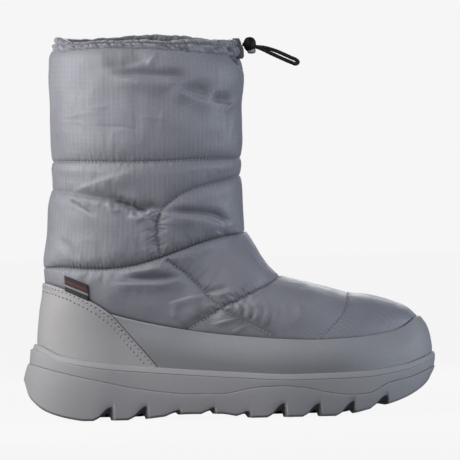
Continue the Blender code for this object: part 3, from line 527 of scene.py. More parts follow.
plan_centre = through(PLAN, "x", "centre")
plan_half = through(PLAN, "x", "half")
vamp_x = through(VAMP, "z", "x")
shaft_back = through(SHAFT, "z", "back")
shaft_front = through(SHAFT, "z", "front")
shaft_half = through(SHAFT, "z", "half")
joint_z = through(JOINT, "x", "z")
parting_z = through(PARTING, "x", "z")
bottom_z = through(BOTTOM, "x", "z")
rand_top = through(RAND_TOP, "x", "z")
counter_top = through(COUNTER_TOP, "x", "z")
INSTEP_Z = VAMP["z"][-1]
CROWN_Z = np.linspace(45.0, INSTEP_Z, 400)
CROWN_X = vamp_x(CROWN_Z)
CLIMB_Z = np.linspace(RINGS["front_z"][0], RINGS["front_z"][1], 400)
CLIMB_RUN = np.concatenate(((0.0,), np.cumsum(np.hypot(np.diff(vamp_x(CLIMB_Z)), np.diff(CLIMB_Z)))))

# The part's frame has its origin under the middle of the boot; the lock's front end gives the shift
LOCK_LOW, LOCK_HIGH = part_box("cord_lock")
MIDDLE = np.array((
    LOCK["x"] + LOCK["long"] / 2 - LOCK_HIGH.x / MM, -(LOCK_LOW.y + LOCK_HIGH.y) / 2 / MM, 0.0,
))


def smooth_step(value, low, high):
    """Ease from zero at low to one at high: t squared times three minus two t."""
    t = np.clip((value - low) / (high - low), 0, 1)
    return t * t * (3 - 2 * t)


def unit(vectors):
    """Vectors brought to length one."""
    return vectors / np.maximum(np.linalg.norm(vectors, axis=-1, keepdims=True), 1e-9)


def crown_z(x):
    """Height of the foot's top line, carried on up behind the instep."""
    behind = INSTEP_Z + CROWN_BEHIND * np.clip(CROWN_X[-1] - x, 0, CROWN_CARRY)
    return np.where(x < CROWN_X[-1], behind, np.interp(x, CROWN_X[::-1], CROWN_Z[::-1]))


def oval(share, power):
    """Height of a unit superellipse at a share of its half length."""
    return (1 - np.clip(np.abs(share), 0, 1) ** power) ** (1 / power)


def foot_plan(x):
    """Half width of the foot at floor level: the plan's half width, rounded off at heel and toe."""
    heel = (HEEL_ROUND_END - np.minimum(x, HEEL_ROUND_END)) / (HEEL_ROUND_END - HEEL_BACK)
    toe = (np.maximum(x, TOE_ROUND_START) - TOE_ROUND_START) / (TOE_TIP - TOE_ROUND_START)
    return plan_half(x) * oval(heel, 2.0) * oval(toe, TOE_POWER)


def half_width(x, z):
    """Half width of the upper: a power mean runs the foot's section and the shaft's oval together."""
    back = shaft_back(z)
    drawn = HEEL_BACK + (x - back) * (HEEL_BLEND - HEEL_BACK) / (HEEL_BLEND - back)
    rise = (np.maximum(z, SIDE_WALL_TOP) - SIDE_WALL_TOP) / (crown_z(x) - SIDE_WALL_TOP)
    foot = foot_plan(np.where(x < HEEL_BLEND, drawn, x)) * oval(rise, CROWN_POWER)
    front = shaft_front(z)
    shaft = shaft_half(z) * oval((2 * x - back - front) / (front - back), SHAFT_POWER)
    return (foot ** BLEND_POWER + shaft ** BLEND_POWER) ** (1 / BLEND_POWER)


def middle_y(x, z):
    """Swing of the middle line towards the inner side, which fades out up the shaft."""
    return plan_centre(x) * (1 - smooth_step(z, SWING_LOW, SWING_HIGH))


def on_last(x, z, side):
    """Points of the upper's smooth outer surface for side-view points and a side of -1 or 1."""
    return np.stack((x, middle_y(x, z) + side * half_width(x, z), z), axis=-1)


def folded(x, z):
    """Points with both sides of the boot laid on each other: length, half width and height."""
    return np.stack((x, half_width(x, z), z), axis=-1)


def grid_normals(points, closed):
    """Outward unit normals of a grid: step along a row crossed with step from row to row."""
    if closed:
        along = np.roll(points, -1, 1) - np.roll(points, 1, 1)
    else:
        along = np.gradient(points, axis=1)
    return unit(np.cross(along, np.gradient(points, axis=0)))


def sag_shape(c, deepest):
    """A smooth dip of depth one whose lowest point lies at the given share of the ring."""
    return np.sin(math.pi * c ** (math.log(0.5) / math.log(deepest))) ** 2


def floor_z(x):
    """Height of the cup's floor under the foot."""
    c = np.clip((x - HEEL_BACK) / (TOE_TIP - HEEL_BACK), 0, 1)
    ends = RINGS["back_z"][0] + (RINGS["front_z"][0] - RINGS["back_z"][0]) * c
    return ends + RINGS["sag"][0] * sag_shape(c, RINGS["deepest"][0]) - GAP


def base_z(x):
    """Top of the outsole's base, kept below the parting line and the cup's floor."""
    low = np.minimum(bottom_z(x) + BASE, parting_z(x) - BASE_BELOW_PARTING)
    return np.minimum(low, floor_z(x) - BASE_BELOW_FLOOR)


def lip_z(x):
    """Lower edge of the midsole's lip."""
    return joint_z(x) - LIP_HEIGHT


def ring_columns(half):
    """Shares of the way from back to front for a ring's columns, spaced like a cosine, and their sides."""
    turn = np.arange(2 * half)
    share = (1 - np.cos(math.pi * np.minimum(turn, 2 * half - turn) / half)) / 2
    return share, np.where(turn <= half, -1.0, 1.0)


def ring_points(k, climb, share):
    """Side-view points between named ring k and the next: climb goes up, share goes from back to front."""
    low = {key: column[k] for key, column in RINGS.items()}
    high = {key: column[k + 1] for key, column in RINGS.items()}
    back = low["back_z"] + (high["back_z"] - low["back_z"]) * climb
    front = low["front_z"] + (high["front_z"] - low["front_z"]) * climb
    front_x = shaft_front(front)
    if k == 0:
        front = np.interp(climb * CLIMB_RUN[-1], CLIMB_RUN, CLIMB_Z)
        front_x = vamp_x(front)
    sag = (1 - climb) * low["sag"] * sag_shape(share, low["deepest"])
    sag = sag + climb * high["sag"] * sag_shape(share, high["deepest"])
    back_x = shaft_back(back)
    return back_x + (front_x - back_x) * share, back + (front - back) * share + sag


def smooth_line(rows, samples):
    """Points along a smooth line through rows of side-view points, laid on the folded last."""
    t = np.arange(len(rows["x"]), dtype=float)
    fine = np.linspace(0, t[-1], samples)
    knots = {"t": t, "x": rows["x"], "z": rows["z"]}
    return folded(through(knots, "t", "x")(fine), through(knots, "t", "z")(fine))


def beside_line(points, line):
    """Distance of each point from a line, length along it to the nearest place, side and whole length.

    Each stretch of the line keeps the points that lie nearer to it than to the stretches before.
    """
    best = np.full(points.shape[:-1], FAR)
    run = np.zeros_like(best)
    turn = np.zeros_like(best)
    start = 0.0
    for a, b in zip(line[:-1], line[1:]):
        step = b - a
        length = np.linalg.norm(step)
        t = np.clip((points - a) @ step / length ** 2, 0, 1)
        off = points - a - t[..., None] * step
        distance = np.sqrt(np.einsum("...i,...i", off, off))
        near = distance < best
        best = np.where(near, distance, best)
        run = np.where(near, start + t * length, run)
        turn = np.where(near, step[0] * off[..., 2] - step[2] * off[..., 0], turn)
        start += length
    return best, run, np.sign(turn), start


def soft_noise(points, cell, seed):
    """Smooth noise between -1 and 1: random lattice values, blended across each cell with an eased weight."""
    lattice = np.random.default_rng(seed).uniform(-1, 1, (LATTICE, LATTICE, LATTICE))
    at = np.asarray(points) / cell + LATTICE_SHIFT
    low = np.floor(at).astype(int)
    part = at - low
    part = part * part * (3 - 2 * part)
    total = np.zeros(at.shape[:-1])
    for corner in itertools.product((0, 1), repeat=3):
        weight = np.prod(np.where(np.array(corner) == 1, part, 1 - part), axis=-1)
        i, j, k = np.moveaxis((low + corner) % LATTICE, -1, 0)
        total += weight * lattice[i, j, k]
    return total


def run_along(points):
    """Length along a line of points up to each of them."""
    return np.concatenate(((0.0,), np.cumsum(np.linalg.norm(np.diff(points, axis=0), axis=-1))))


def at_run(where, run, points):
    """Points at given lengths along a line of points."""
    return np.stack([np.interp(where, run, column) for column in points.T], axis=-1)


def ring_quads(rows, columns, closed_rows):
    """Corner numbers of the quads between closed rings, and from the last ring to the first if asked."""
    r = np.arange(rows if closed_rows else rows - 1)[:, None]
    c = np.arange(columns)[None, :]
    d = (c + 1) % columns
    s = (r + 1) % rows
    corners = (r * columns + c, r * columns + d, s * columns + d, s * columns + c)
    return np.stack(corners, axis=-1).reshape(-1, 4)


def end_caps(rows, columns):
    """Corner numbers of the two faces that close the first and the last ring of a tube."""
    ring = np.arange(columns)
    return np.stack((ring[::-1], (rows - 1) * columns + ring))


def across_faces(first, columns):
    """Quads and two end triangles that close one ring from side to side."""
    half = columns // 2
    c = np.arange(1, half - 1)
    quads = first + np.stack((c, c + 1, columns - c - 1, columns - c), axis=-1)
    ends = first + np.array(((0, 1, columns - 1), (half - 1, half, half + 1)))
    return quads, ends


def plate_faces(rows, columns):
    """Quads of a closed plate: an outer grid, an inner grid numbered after it, and the rim between them."""
    r = np.arange(rows - 1)[:, None]
    a = (r * columns + np.arange(columns - 1)[None, :]).reshape(-1)
    count = rows * columns
    outer = np.stack((a, a + 1, a + columns + 1, a + columns), axis=-1)
    inner = count + outer[:, ::-1]
    rim = np.concatenate((
        np.arange(columns), np.arange(1, rows) * columns + columns - 1,
        (rows - 1) * columns + np.arange(columns - 2, -1, -1), np.arange(rows - 2, 0, -1) * columns,
    ))
    after = np.roll(rim, -1)
    edge = np.stack((after, rim, count + rim, count + after), axis=-1)
    return np.concatenate((outer, inner, edge))


def put_mesh(name, points, polygons, uv=None, attributes=None, turn_out=False):
    """A smooth mesh from points in millimetres and arrays of corner numbers, one array for each face size."""
    mesh = bpy.data.meshes.new(name)
    sizes = np.concatenate([np.full(len(p), p.shape[1]) for p in polygons])
    corners = np.concatenate([p.reshape(-1) for p in polygons])
    points = (points.reshape(-1, 3) - MIDDLE) * MM
    if not np.isfinite(points).all():
        raise RuntimeError(f"{name} has points that are no numbers")
    mesh.vertices.add(len(points))
    mesh.vertices.foreach_set("co", points.reshape(-1).astype(np.float32))
    mesh.loops.add(len(corners))
    mesh.loops.foreach_set("vertex_index", corners.astype(np.int32))
    mesh.polygons.add(len(sizes))
    mesh.polygons.foreach_set("loop_start", (np.cumsum(sizes) - sizes).astype(np.int32))
    mesh.polygons.foreach_set("use_smooth", np.ones(len(sizes), bool))
    mesh.update(calc_edges=True)
    if uv is not None:
        layer = mesh.uv_layers.new(name="cloth")
        layer.data.foreach_set("uv", np.concatenate([u.reshape(-1) for u in uv]).astype(np.float32) * MM)
    for key, values in (attributes or {}).items():
        layer = mesh.attributes.new(key, "FLOAT", "POINT")
        layer.data.foreach_set("value", values.reshape(-1).astype(np.float32))
    if turn_out:
        bm = bmesh.new()
        bm.from_mesh(mesh)
        bmesh.ops.recalc_face_normals(bm, faces=bm.faces)
        bm.to_mesh(mesh)
        bm.free()
    if mesh.validate():
        raise RuntimeError(f"{name} has faces that had to be mended")
    return mesh


def add_piece(mesh, material, nodes=()):
    """Put a mesh into the scene as a piece on the boot's one body, standing for the nodes named."""
    piece = bpy.data.objects.new(mesh.name, mesh)
    bpy.context.scene.collection.objects.link(piece)
    mesh.materials.append(material)
    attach(piece, "root")
    if nodes:
        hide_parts(*nodes)
    return piece


def ring_uv(run, climb, rows):
    """Corner places on the cloth for a closed ring grid: run has one column more than the ring has points."""
    low, high = slice(0, rows), slice(1, rows + 1)
    corner = [np.stack((run[a, b], climb[a, b]), axis=-1) for a, b in (
        (low, slice(0, -1)), (low, slice(1, None)), (high, slice(1, None)), (high, slice(0, -1)))]
    return np.stack(corner, axis=2)


def seam_lines(ring_lines, names):
    """Folded lines of the named seams: those round the boot from its rings, the others from their tables."""
    lines = {name: smooth_line(SEAMS[name], 40) for name in names if name in SEAMS}
    lines.update({name: ring_lines[name] for name in names if name in ring_lines})
    return lines


def gather_gain(x, z):
    """How strongly the cloth puckers: a base, and a bell at each place where the thread is drawn tight."""
    gain = np.full(np.shape(x), PUCKER_BASE)
    for cx, cz, radius, more in zip(*CLUSTERS.values()):
        gain = gain + more * np.exp(-((x - cx) ** 2 + (z - cz) ** 2) / radius ** 2)
    return gain


def tuck_in(x, z):
    """How far cloth and rand are drawn in: a power of the nearness to the rand's top edge."""
    off = z - overlay_edge(x)
    near = np.clip(1 - np.abs(off) / np.where(off > 0, TUCK_IN["above"], TUCK_IN["below"]), 0, 1)
    seen = smooth_step(half_width(x, z), *TUCK_SEEN) * smooth_step(x, TUCK_IN["start"], TUCK_IN["full"])
    return TUCK_IN["depth"] * near ** TUCK_POWER * seen


def seam_noise(along, across, side, cell, seed):
    """Soft noise of places beside a seam, with other values on the other side of the boot."""
    place = np.stack(np.broadcast_arrays(along, across, SIDE_SHIFT * side), axis=-1)
    return soft_noise(place, cell, seed)


def crease_relief(points, side):
    """Bells across the listed lines, steeper on one side and eased off towards both ends."""
    relief = np.zeros(side.shape)
    for crease_side, width, height, *rows in CREASES:
        off, run, turn, whole = beside_line(points, smooth_line(table("x z", *rows), 14))
        ease = smooth_step(run, 0, CREASE_EASE * whole) * smooth_step(whole - run, 0, CREASE_EASE * whole)
        lean = np.where(turn * height > 0, *CREASE_LEAN)
        relief = relief + height * np.exp(-((off / width / lean) ** 2)) * ease * (side == crease_side)
    return relief


def quilt_relief(x, z, side, lines, scale):
    """Height of the cloth over the last, fine relief, distance to a seam, own puckers' share, and painted
    shade of the folds.

    Every seam takes away a valley, depth * (1 - sqrt(1 - u * u)) with u falling from one at the seam to
    zero at its reach, and a narrow stitched line. Across it run puckers: noise of the length along the
    seam, fading with the distance. Creases are added, and slow noise gives the lumps of the filling.
    """
    points = folded(x, z)
    whole = on_last(x, z, side)
    valley, line_cut, pucker, ticks, weights, own_share = np.zeros((6, *x.shape))
    nearest = np.full(x.shape, FAR)
    gain = gather_gain(x, z)
    facing = smooth_step(points[..., 1], *FACING)
    for seed, (name, line) in enumerate(lines.items()):
        depth, left, right, cut, height, spacing, long_left, long_right, at_outline, own = SEAM_LOOKS[name]
        off, run, turn, _ = beside_line(points, line)
        apart = TURN_SHIFT * (turn > 0)
        closer = np.exp(-np.clip(off - nearest, 0, 60) / SEAM_HANDOVER)
        nearest = np.minimum(nearest, off)
        weigh = np.exp(-off / OWN_REACH) + 1 / FAR
        weights = weights + weigh
        own_share = own_share + own * weigh
        near = np.clip(1 - off / np.where(turn > 0, left, right), 0, 1)
        depth = depth * (at_outline + (1 - at_outline) * facing)
        valley = np.maximum(valley, depth * (1 - np.sqrt(1 - VALLEY_ROUND * near ** 2)))
        wander = off + LINE_WANDER * turn * gain * seam_noise(run / LINE_RUN, 0.0, side, 1.0, 51 + seed)
        hole = 0.5 + 0.5 * np.cos(2 * math.pi * run / STITCH)
        line_cut = np.maximum(line_cut, cut * (0.7 + 0.3 * hole) * np.exp(-((wander / LINE_WIDTH) ** 2)))
        reach = np.where(turn > 0, *TICK_REACH)
        ticks = np.maximum(ticks, TICKS.get(name, 0.0) * hole ** 2 * np.exp(-((off / reach) ** 2)))
        slant = (run + PUCKER_SLANT * off * turn) / spacing
        noise = seam_noise(slant + apart, off / PUCKER_RUN, side, PUCKER_CELL, 11 + seed)
        ruffle = 2 * np.abs(noise) ** PUCKER_POWER - PUCKER_MEAN
        noise = seam_noise(run / UNEVEN_RUN + apart, 0.0, side, UNEVEN_CELL, 71 + seed)
        uneven = np.where(turn > 0, long_left, long_right) * (1 + UNEVEN * noise)
        fade = np.exp(-((off / uneven) ** FADE_POWER)) * (1 - FADE_AT_LINE * np.exp(-(off ** 2)))
        pucker = pucker * (1 - fade * closer) + height * gain * ruffle * fade * closer
    crease = crease_relief(points, side)
    away = smooth_step(nearest, 0, AWAY)
    lumps = sum(height * soft_noise(whole, cell, seed) for height, cell, seed in LUMPS)
    lumps = lumps * (LUMPS_AT_OUTLINE + (1 - LUMPS_AT_OUTLINE) * facing)
    crinkle = CRINKLE * (1 - 2 * np.abs(soft_noise(whole, np.array(CRINKLE_CELL), 5)))
    fine = scale * (pucker + crease - TICK_DEPTH * ticks) - line_cut + away * crinkle
    # Painted shade: the cloth's colour darkens in valleys, puckers, creases, stitched lines and ticks, most
    # in deep creases
    fold = SHADE["valley"] * valley - SHADE["pucker"] * pucker - SHADE["crease"] * crease
    fold = np.clip(fold + SHADE["line"] * line_cut + SHADE["ticks"] * ticks, 0, 1)
    fold = fold + smooth_step(-crease, *DEEP_CREASE_SHADE)
    return away * lumps - valley, fine, nearest, own_share / weights, fold


def doubled(values, closed):
    """A grid with a new row between every two: the four rows round it in parts -1, 9, 9 and -1 of sixteen."""
    if closed:
        padded = np.concatenate((values[-1:], values, values[:2]))
    else:
        padded = np.concatenate((values[:1], values, values[-1:]))
    between = (9 * (padded[1:-2] + padded[2:-1]) - padded[:-3] - padded[3:]) / 16
    made = np.empty((len(values) + len(between), *values.shape[1:]))
    made[::2] = values
    made[1::2] = between
    return made


def settle_cloth(start, held):
    """Let a ring grid of cloth find its own folds, and return where its points come to rest.

    The cloth grows by its cut, stays sewn down at the held points and is pushed out by an even pressure.
    """
    scene = bpy.context.scene
    mesh = put_mesh("cloth_trial", start, [ring_quads(*start.shape[:2], False)])
    mesh.transform(Matrix.Scale(SETTLE_SCALE, 4))
    trial = bpy.data.objects.new("cloth_trial", mesh)
    scene.collection.objects.link(trial)
    sewn = trial.vertex_groups.new(name="sewn")
    sewn.add(np.flatnonzero(held).tolist(), 1.0, "REPLACE")
    cloth = trial.modifiers.new("cloth", "CLOTH")
    for key, value in CLOTH_PROPERTIES.items():
        setattr(cloth.settings, key, value)
    cloth.settings.vertex_group_mass = sewn.name
    cloth.settings.effector_weights.gravity = 0.0
    cloth.collision_settings.use_collision = False
    cloth.point_cache.frame_end = SETTLE_FRAMES
    for number in range(1, SETTLE_FRAMES + 1):
        scene.frame_set(number)
    made = trial.evaluated_get(bpy.context.evaluated_depsgraph_get()).data
    settled = np.empty(start.size, np.float32)
    made.vertices.foreach_get("co", settled)
    bpy.data.objects.remove(trial)
    bpy.data.meshes.remove(mesh)
    scene.frame_set(1)
    return settled.reshape(start.shape).astype(float) / (MM * SETTLE_SCALE) + MIDDLE


def own_folds(smooth, normal, base, held):
    """Height of the puckers that the cloth of a grid makes by itself, without the bulge they ride on."""
    uneven = ROUGH_START * soft_noise(smooth, ROUGH_CELL, 41)
    start = (smooth + normal * (base + uneven * ~held)[..., None])[::2, ::2]
    shift = settle_cloth(start, held[::2, ::2]) - start
    height = np.clip((shift * normal[::2, ::2]).sum(axis=-1), -SETTLE_LIMIT, SETTLE_LIMIT)
    steps = range(-SETTLE_MEAN, SETTLE_MEAN + 1)
    height = height - sum(np.roll(height, step, 1) for step in steps) / len(steps)
    return doubled(doubled(height, False).T, True).T


def quilted_shell(name, x, z, side, base, fine, held, own_share, fold, slant):
    """A padded wall from a grid of side-view points: the quilted face outside and a smooth one inside."""
    smooth = on_last(x, z, side)
    normal = grid_normals(smooth, True)
    own = np.clip(own_share * own_folds(smooth, normal, base, held), -OWN_LIMIT, OWN_LIMIT)
    # Painted shade: the cloth's own puckers add to the darkening of its folds
    fold = np.clip(fold - OWN_SHADE * own, 0, 2)
    relief = base + fine + own
    sunk = np.minimum(relief + DEEPEST / 2, 0)
    relief = np.maximum(relief, -DEEPEST / 2) - DEEPEST / 2 * (1 - np.exp(2 * sunk / DEEPEST))
    outer = smooth + normal * relief[..., None]
    rows, columns = x.shape
    back = np.linspace(rows - 1, 0, INNER_ROWS).round().astype(int)
    inner = smooth[back] - normal[back] * (WALL - INNER_GAP)
    points = np.concatenate((outer, inner))
    quads = ring_quads(len(points), columns, True)
    closed = np.concatenate((smooth, smooth[:, :1]), axis=1)
    step = np.linalg.norm(np.diff(closed, axis=1), axis=-1).mean(axis=0)
    run = np.concatenate(((0.0,), np.cumsum(step)))[None, :] + np.zeros((rows, 1))
    climb = np.cumsum(np.linalg.norm(np.diff(closed, axis=0, prepend=closed[:1]), axis=-1), axis=0)
    run = np.concatenate((run, np.repeat(run[-1:], INNER_ROWS + 1, axis=0)))
    climb = np.concatenate((climb, np.repeat(climb[-1:], INNER_ROWS + 1, axis=0)))
    turned = run * math.cos(slant) - climb * math.sin(slant)
    risen = run * math.sin(slant) + climb * math.cos(slant)
    uv = ring_uv(turned, risen, len(points))
    fold = np.concatenate((fold, np.zeros((INNER_ROWS, columns))))
    mesh = put_mesh(name, points, [quads], [uv], {"fold": fold})
    return mesh, smooth, outer, normal


def shaft_grid():
    """Side-view points of the shaft from the ankle seam to the collar, and the lines of its ring seams."""
    share, side = ring_columns(CLOTH_HALF)
    parts = []
    lines = {}
    for k, name in enumerate(RING_NAMES[2:], start=1):
        climb = np.linspace(0, 1, SHAFT_ROWS[name] + 1)[0 if k == 1 else 1:, None]
        parts.append(np.stack(ring_points(k, climb, share[None, :])))
    for k, name in enumerate(RING_NAMES[1:4], start=1):
        x, z = ring_points(k, np.zeros((1, 1)), share[None, :CLOTH_HALF + 1:6])
        lines[name] = folded(x[0], z[0])
    x, z = ring_points(3, np.ones((1, 1)), share[None, :CLOTH_HALF + 1:6])
    lines["collar"] = folded(x[0], z[0])
    x, z = np.concatenate(parts, axis=1)
    return x, z, side[None, :] + 0 * x, lines


def overlay_edge(x):
    """Height of the top edge of rand and counter."""
    return np.maximum(rand_top(x), np.where(x < COUNTER_END, counter_top(x), 0))


def vamp_grid():
    """Side-view points of the vamp from under the overlays' top edge to the ankle seam."""
    share, side = ring_columns(CLOTH_HALF)
    scan = np.linspace(0, 1, 500)[:, None]
    x, z = ring_points(0, scan, share[None, :])
    above = z > overlay_edge(x) - VAMP_UNDER
    start = scan[np.argmax(above, axis=0), 0]
    climb = start[None, :] + (1 - start[None, :]) * np.linspace(0, 1, VAMP_ROWS)[:, None]
    x, z = ring_points(0, climb, share[None, :])
    return x, z, side[None, :] + 0 * x


def edge_line():
    """The overlays' top edge as a folded line, which the vamp swells up behind."""
    x = np.concatenate([np.linspace(*part) for part in EDGE_RUNS])
    return folded(x, overlay_edge(x))


def on_cloth(line, side, cloth, normal, smooth):
    """Lay a folded line on a quilted grid: each point takes the mean shift of the grid points close to it."""
    base = on_last(line[:, 0], line[:, 2], side)
    flat = smooth.reshape(-1, 3)
    gap = ((base[:, None, :] - flat[None, :, :]) ** 2).sum(axis=-1)
    weight = np.exp(-(gap - gap.min(axis=1, keepdims=True)) / CLOSE_TO_LINE)
    weight = weight / weight.sum(axis=1, keepdims=True)
    shift = weight @ (cloth - smooth).reshape(-1, 3)
    return base + shift, unit(weight @ normal.reshape(-1, 3))


def even_places(line, pitch):
    """Points and directions at an even pitch along a line of points."""
    run = run_along(line)
    at = np.arange(pitch / 2, run[-1], pitch)
    ahead = at_run(at + LOOK_AHEAD, run, line) - at_run(at - LOOK_AHEAD, run, line)
    return at_run(at, run, line), unit(ahead)


def spread_out(vectors, count):
    """Unit vectors at evenly spread places of a list of vectors."""
    return unit(at_run(np.linspace(0, len(vectors) - 1, count), np.arange(len(vectors)), vectors))


def beads(places, along, out, length, width, height):
    """Many small rounded rods: a superellipse of width and height swept along each rod's own line."""
    turn = np.arange(ROD_COLUMNS) * 2 * math.pi / ROD_COLUMNS
    t = np.linspace(-1, 1, ROD_ROWS)
    swell = np.maximum(oval(t, ROD_POWER), ROD_END)
    across = unit(np.cross(out, along))
    out = unit(np.cross(along, across))
    grid = places[:, None, None, :] + (t * length / 2)[None, :, None, None] * along[:, None, None, :]
    grid = grid + (swell[:, None] * np.cos(turn))[None, :, :, None] * across[:, None, None, :] * width / 2
    return grid + (swell[:, None] * np.sin(turn))[None, :, :, None] * out[:, None, None, :] * height / 2


def rod_mesh(name, rods):
    """One mesh of many rods, each a tube with closed ends."""
    rods = np.concatenate(rods)
    first = np.arange(len(rods))[:, None, None] * ROD_ROWS * ROD_COLUMNS
    faces = (ring_quads(ROD_ROWS, ROD_COLUMNS, False), end_caps(ROD_ROWS, ROD_COLUMNS))
    return put_mesh(name, rods, [(first + kind[None]).reshape(-1, kind.shape[1]) for kind in faces])


def plan_ring(name, shift, columns):
    """Plan of the foot at floor level, pushed out by a stand-off at side, heel and toe, at an even pitch."""
    share, side = ring_columns(PLAN_COLUMNS)
    x = HEEL_BACK + (TOE_TIP - HEEL_BACK) * share
    points = on_last(x, SIDE_WALL_TOP + 0 * x, side)[:, :2]
    along = np.roll(points, -1, 0) - np.roll(points, 1, 0)
    out = unit(np.stack((along[:, 1], -along[:, 0]), axis=-1))
    heel = np.clip(1 - share / HEEL_REACH, 0, 1) ** 2
    toe = np.clip(1 - (1 - share) / TOE_REACH, 0, 1) ** 2
    at_side, at_heel, at_toe = STAND_OFF[name]
    ring = points + out * (at_side + (at_heel - at_side) * heel + (at_toe - at_side) * toe + shift)[:, None]
    run = run_along(np.concatenate((points, points[:1])))
    half = run[PLAN_COLUMNS]
    even = np.concatenate((np.linspace(0, half, columns // 2, endpoint=False),
                           np.linspace(half, run[-1], columns // 2, endpoint=False)))
    return at_run(even, run, np.concatenate((ring, ring[:1])))


def lifted(plan, height):
    """A plan ring with its heights as a third column."""
    return np.concatenate((plan, height[:, None]), axis=1)


def level_ring(name, shift, height, lift=0.0):
    """A plan ring at a height worked out from its own x, and a lift over it."""
    plan = plan_ring(name, shift, SOLE_COLUMNS)
    return lifted(plan, height(plan[:, 0]) + lift)


def rounded_rows(rows, radii):
    """Stacked rings with each corner between them turned into a small curve.

    A corner of radius r becomes a quadratic curve from r before it to r after it, which the corner pulls on.
    """
    made = [rows[0][None]]
    t = np.linspace(0, 1, CORNER_STEPS)[:, None, None]
    for before, corner, after, radius in zip(rows[:-2], rows[1:-1], rows[2:], radii[1:-1]):
        if radius == 0:
            made.append(corner[None])
            continue
        ends = []
        for way in (before - corner, after - corner):
            share = np.minimum(radius / np.maximum(np.linalg.norm(way, axis=-1), 1e-6), CORNER_SHARE)
            ends.append(corner + way * share[:, None])
        start, end = ends
        made.append((1 - t) ** 2 * start + 2 * t * (1 - t) * corner + t * t * end)
    made.append(rows[-1][None])
    return np.concatenate(made)


def notch_height(x, inward=0.0):
    """Height of the notches over the bottom: a smooth curve through the rows of their shape, times the depth.

    The steep end leans, so further inward it lies further back.
    """
    rise = through(NOTCH_SHAPE, "share", "rise")
    height = np.zeros_like(x)
    for end, run, depth in zip(*NOTCHES.values()):
        height = height + depth * rise((x - end + run) / (run - NOTCH_SLANT * inward))
    return height


def wall_z(x):
    """Top of the outsole's wall, under the parting line."""
    return parting_z(x) - GAP / 2


def bulge_z(x):
    """Where the outsole's wall is fullest: over the notches and under its top."""
    share = OUTSOLE_BULGE["share"]
    even = share * wall_z(x) + (1 - share) * bottom_z(x)
    even = np.maximum(even, bottom_z(x) + notch_height(x) + OUTSOLE_BULGE["over_notch"])
    return np.minimum(even, wall_z(x) - OUTSOLE_BULGE["under_top"])


def edge_z(x):
    """The outsole's lower edge: over the bottom, and closer to the roof in a notch."""
    notch = notch_height(x)
    less = OUTSOLE_EDGE["less"] * smooth_step(notch, OUTSOLE_EDGE["from"], OUTSOLE_EDGE["to"])
    return bottom_z(x) + notch + OUTSOLE_EDGE["up"] - less


LEVELS = {"base": base_z, "parting": parting_z, "lip": lip_z, "joint": joint_z, "floor": floor_z}


def turned_solid(name, place, form, grooves=()):
    """A solid turned about an upright line: its radius is a superellipse of the height, cut by grooves."""
    rows, columns = form["rows"], form["columns"]
    t = np.linspace(-1, 1, rows)[:, None]
    share = np.maximum((1 - np.abs(t) ** form["power"]) ** (1 / form["root"]), POLE)
    for middle, depth, width in grooves:
        share = share - depth * np.exp(-(((t - middle) / width) ** 2))
    turn = (np.arange(columns) * 2 * math.pi / columns)[None, :]
    grid = np.stack((
        place["x"] + place["long"] / 2 * share * np.cos(turn), place["wide"] / 2 * share * np.sin(turn),
        place["z"] + place["tall"] / 2 * t + 0 * turn,
    ), axis=-1)
    return put_mesh(name, grid, [ring_quads(rows, columns, False), end_caps(rows, columns)])


# Materials


def feed(tree, socket, value):
    """Give an input a plain value, or link it from another socket."""
    if isinstance(value, bpy.types.NodeSocket):
        tree.links.new(value, socket)
    else:
        socket.default_value = value


def add_node(tree, kind, inputs=None, **settings):
    """A node with its settings; each input is a plain value or a socket to link from."""
    node = tree.nodes.new(kind)
    for key, value in settings.items():
        setattr(node, key, value)
    for key, value in (inputs or {}).items():
        feed(tree, node.inputs[key], value)
    return node


def math_node(tree, operation, first, second=0.0):
    """The result of one sum on values or sockets."""
    return add_node(tree, "ShaderNodeMath", {0: first, 1: second}, operation=operation).outputs[0]


def product(tree, *factors):
    """Values or sockets multiplied one after the other."""
    made = factors[0]
    for factor in factors[1:]:
        made = math_node(tree, "MULTIPLY", made, factor)
    return made


def own_place(tree):
    """Place on the object itself."""
    return add_node(tree, "ShaderNodeTexCoord").outputs["Object"]


def ramp(tree, value, low, high, out_low=0.0, out_high=1.0):
    """An eased change of a value from one range to another."""
    return add_node(
        tree, "ShaderNodeMapRange",
        {"Value": value, "From Min": low, "From Max": high, "To Min": out_low, "To Max": out_high},
        interpolation_type="SMOOTHSTEP",
    ).outputs["Result"]


def new_group(name, inputs, outputs):
    """An empty shader node group with named sockets, its input and output nodes; only Cloth is a vector."""
    group = bpy.data.node_groups.new(name, "ShaderNodeTree")
    for way, labels in (("INPUT", inputs), ("OUTPUT", outputs)):
        for label in labels.split():
            kind = "NodeSocketVector" if label == "Cloth" else "NodeSocketFloat"
            group.interface.new_socket(label, in_out=way, socket_type=kind)
    return group, group.nodes.new("NodeGroupInput").outputs, group.nodes.new("NodeGroupOutput").inputs


def ripstop_group():
    """Ripstop: thicker threads on a square grid of the cloth's own places, and a fine weave between."""
    group, given, made = new_group("ripstop", "Cloth Pitch", "Warp Weft Weave")
    place = add_node(group, "ShaderNodeSeparateXYZ", {0: given["Cloth"]}).outputs
    waves = []
    for axis, label in (("X", "Warp"), ("Y", "Weft")):
        turns = math_node(group, "DIVIDE", place[axis], given["Pitch"])
        off = math_node(group, "SUBTRACT", math_node(group, "FRACT", turns), 0.5)
        group.links.new(ramp(group, math_node(group, "ABSOLUTE", off), *THREAD_EDGE), made[label])
        waves.append(math_node(group, "SINE", product(group, turns, 2 * math.pi * WEAVE_TURNS)))
    group.links.new(product(group, *waves), made["Weave"])
    return group


def tone_group():
    """Slow change of tone over the piece: soft noise of the object's own places."""
    group, given, made = new_group("tone", "Scale", "Tone")
    place = {"Vector": own_place(group), "Scale": given["Scale"]}
    noise = add_node(group, "ShaderNodeTexNoise", {**place, "Detail": 3.0})
    group.links.new(ramp(group, noise.outputs["Fac"], 0.3, 0.7), made["Tone"])
    return group


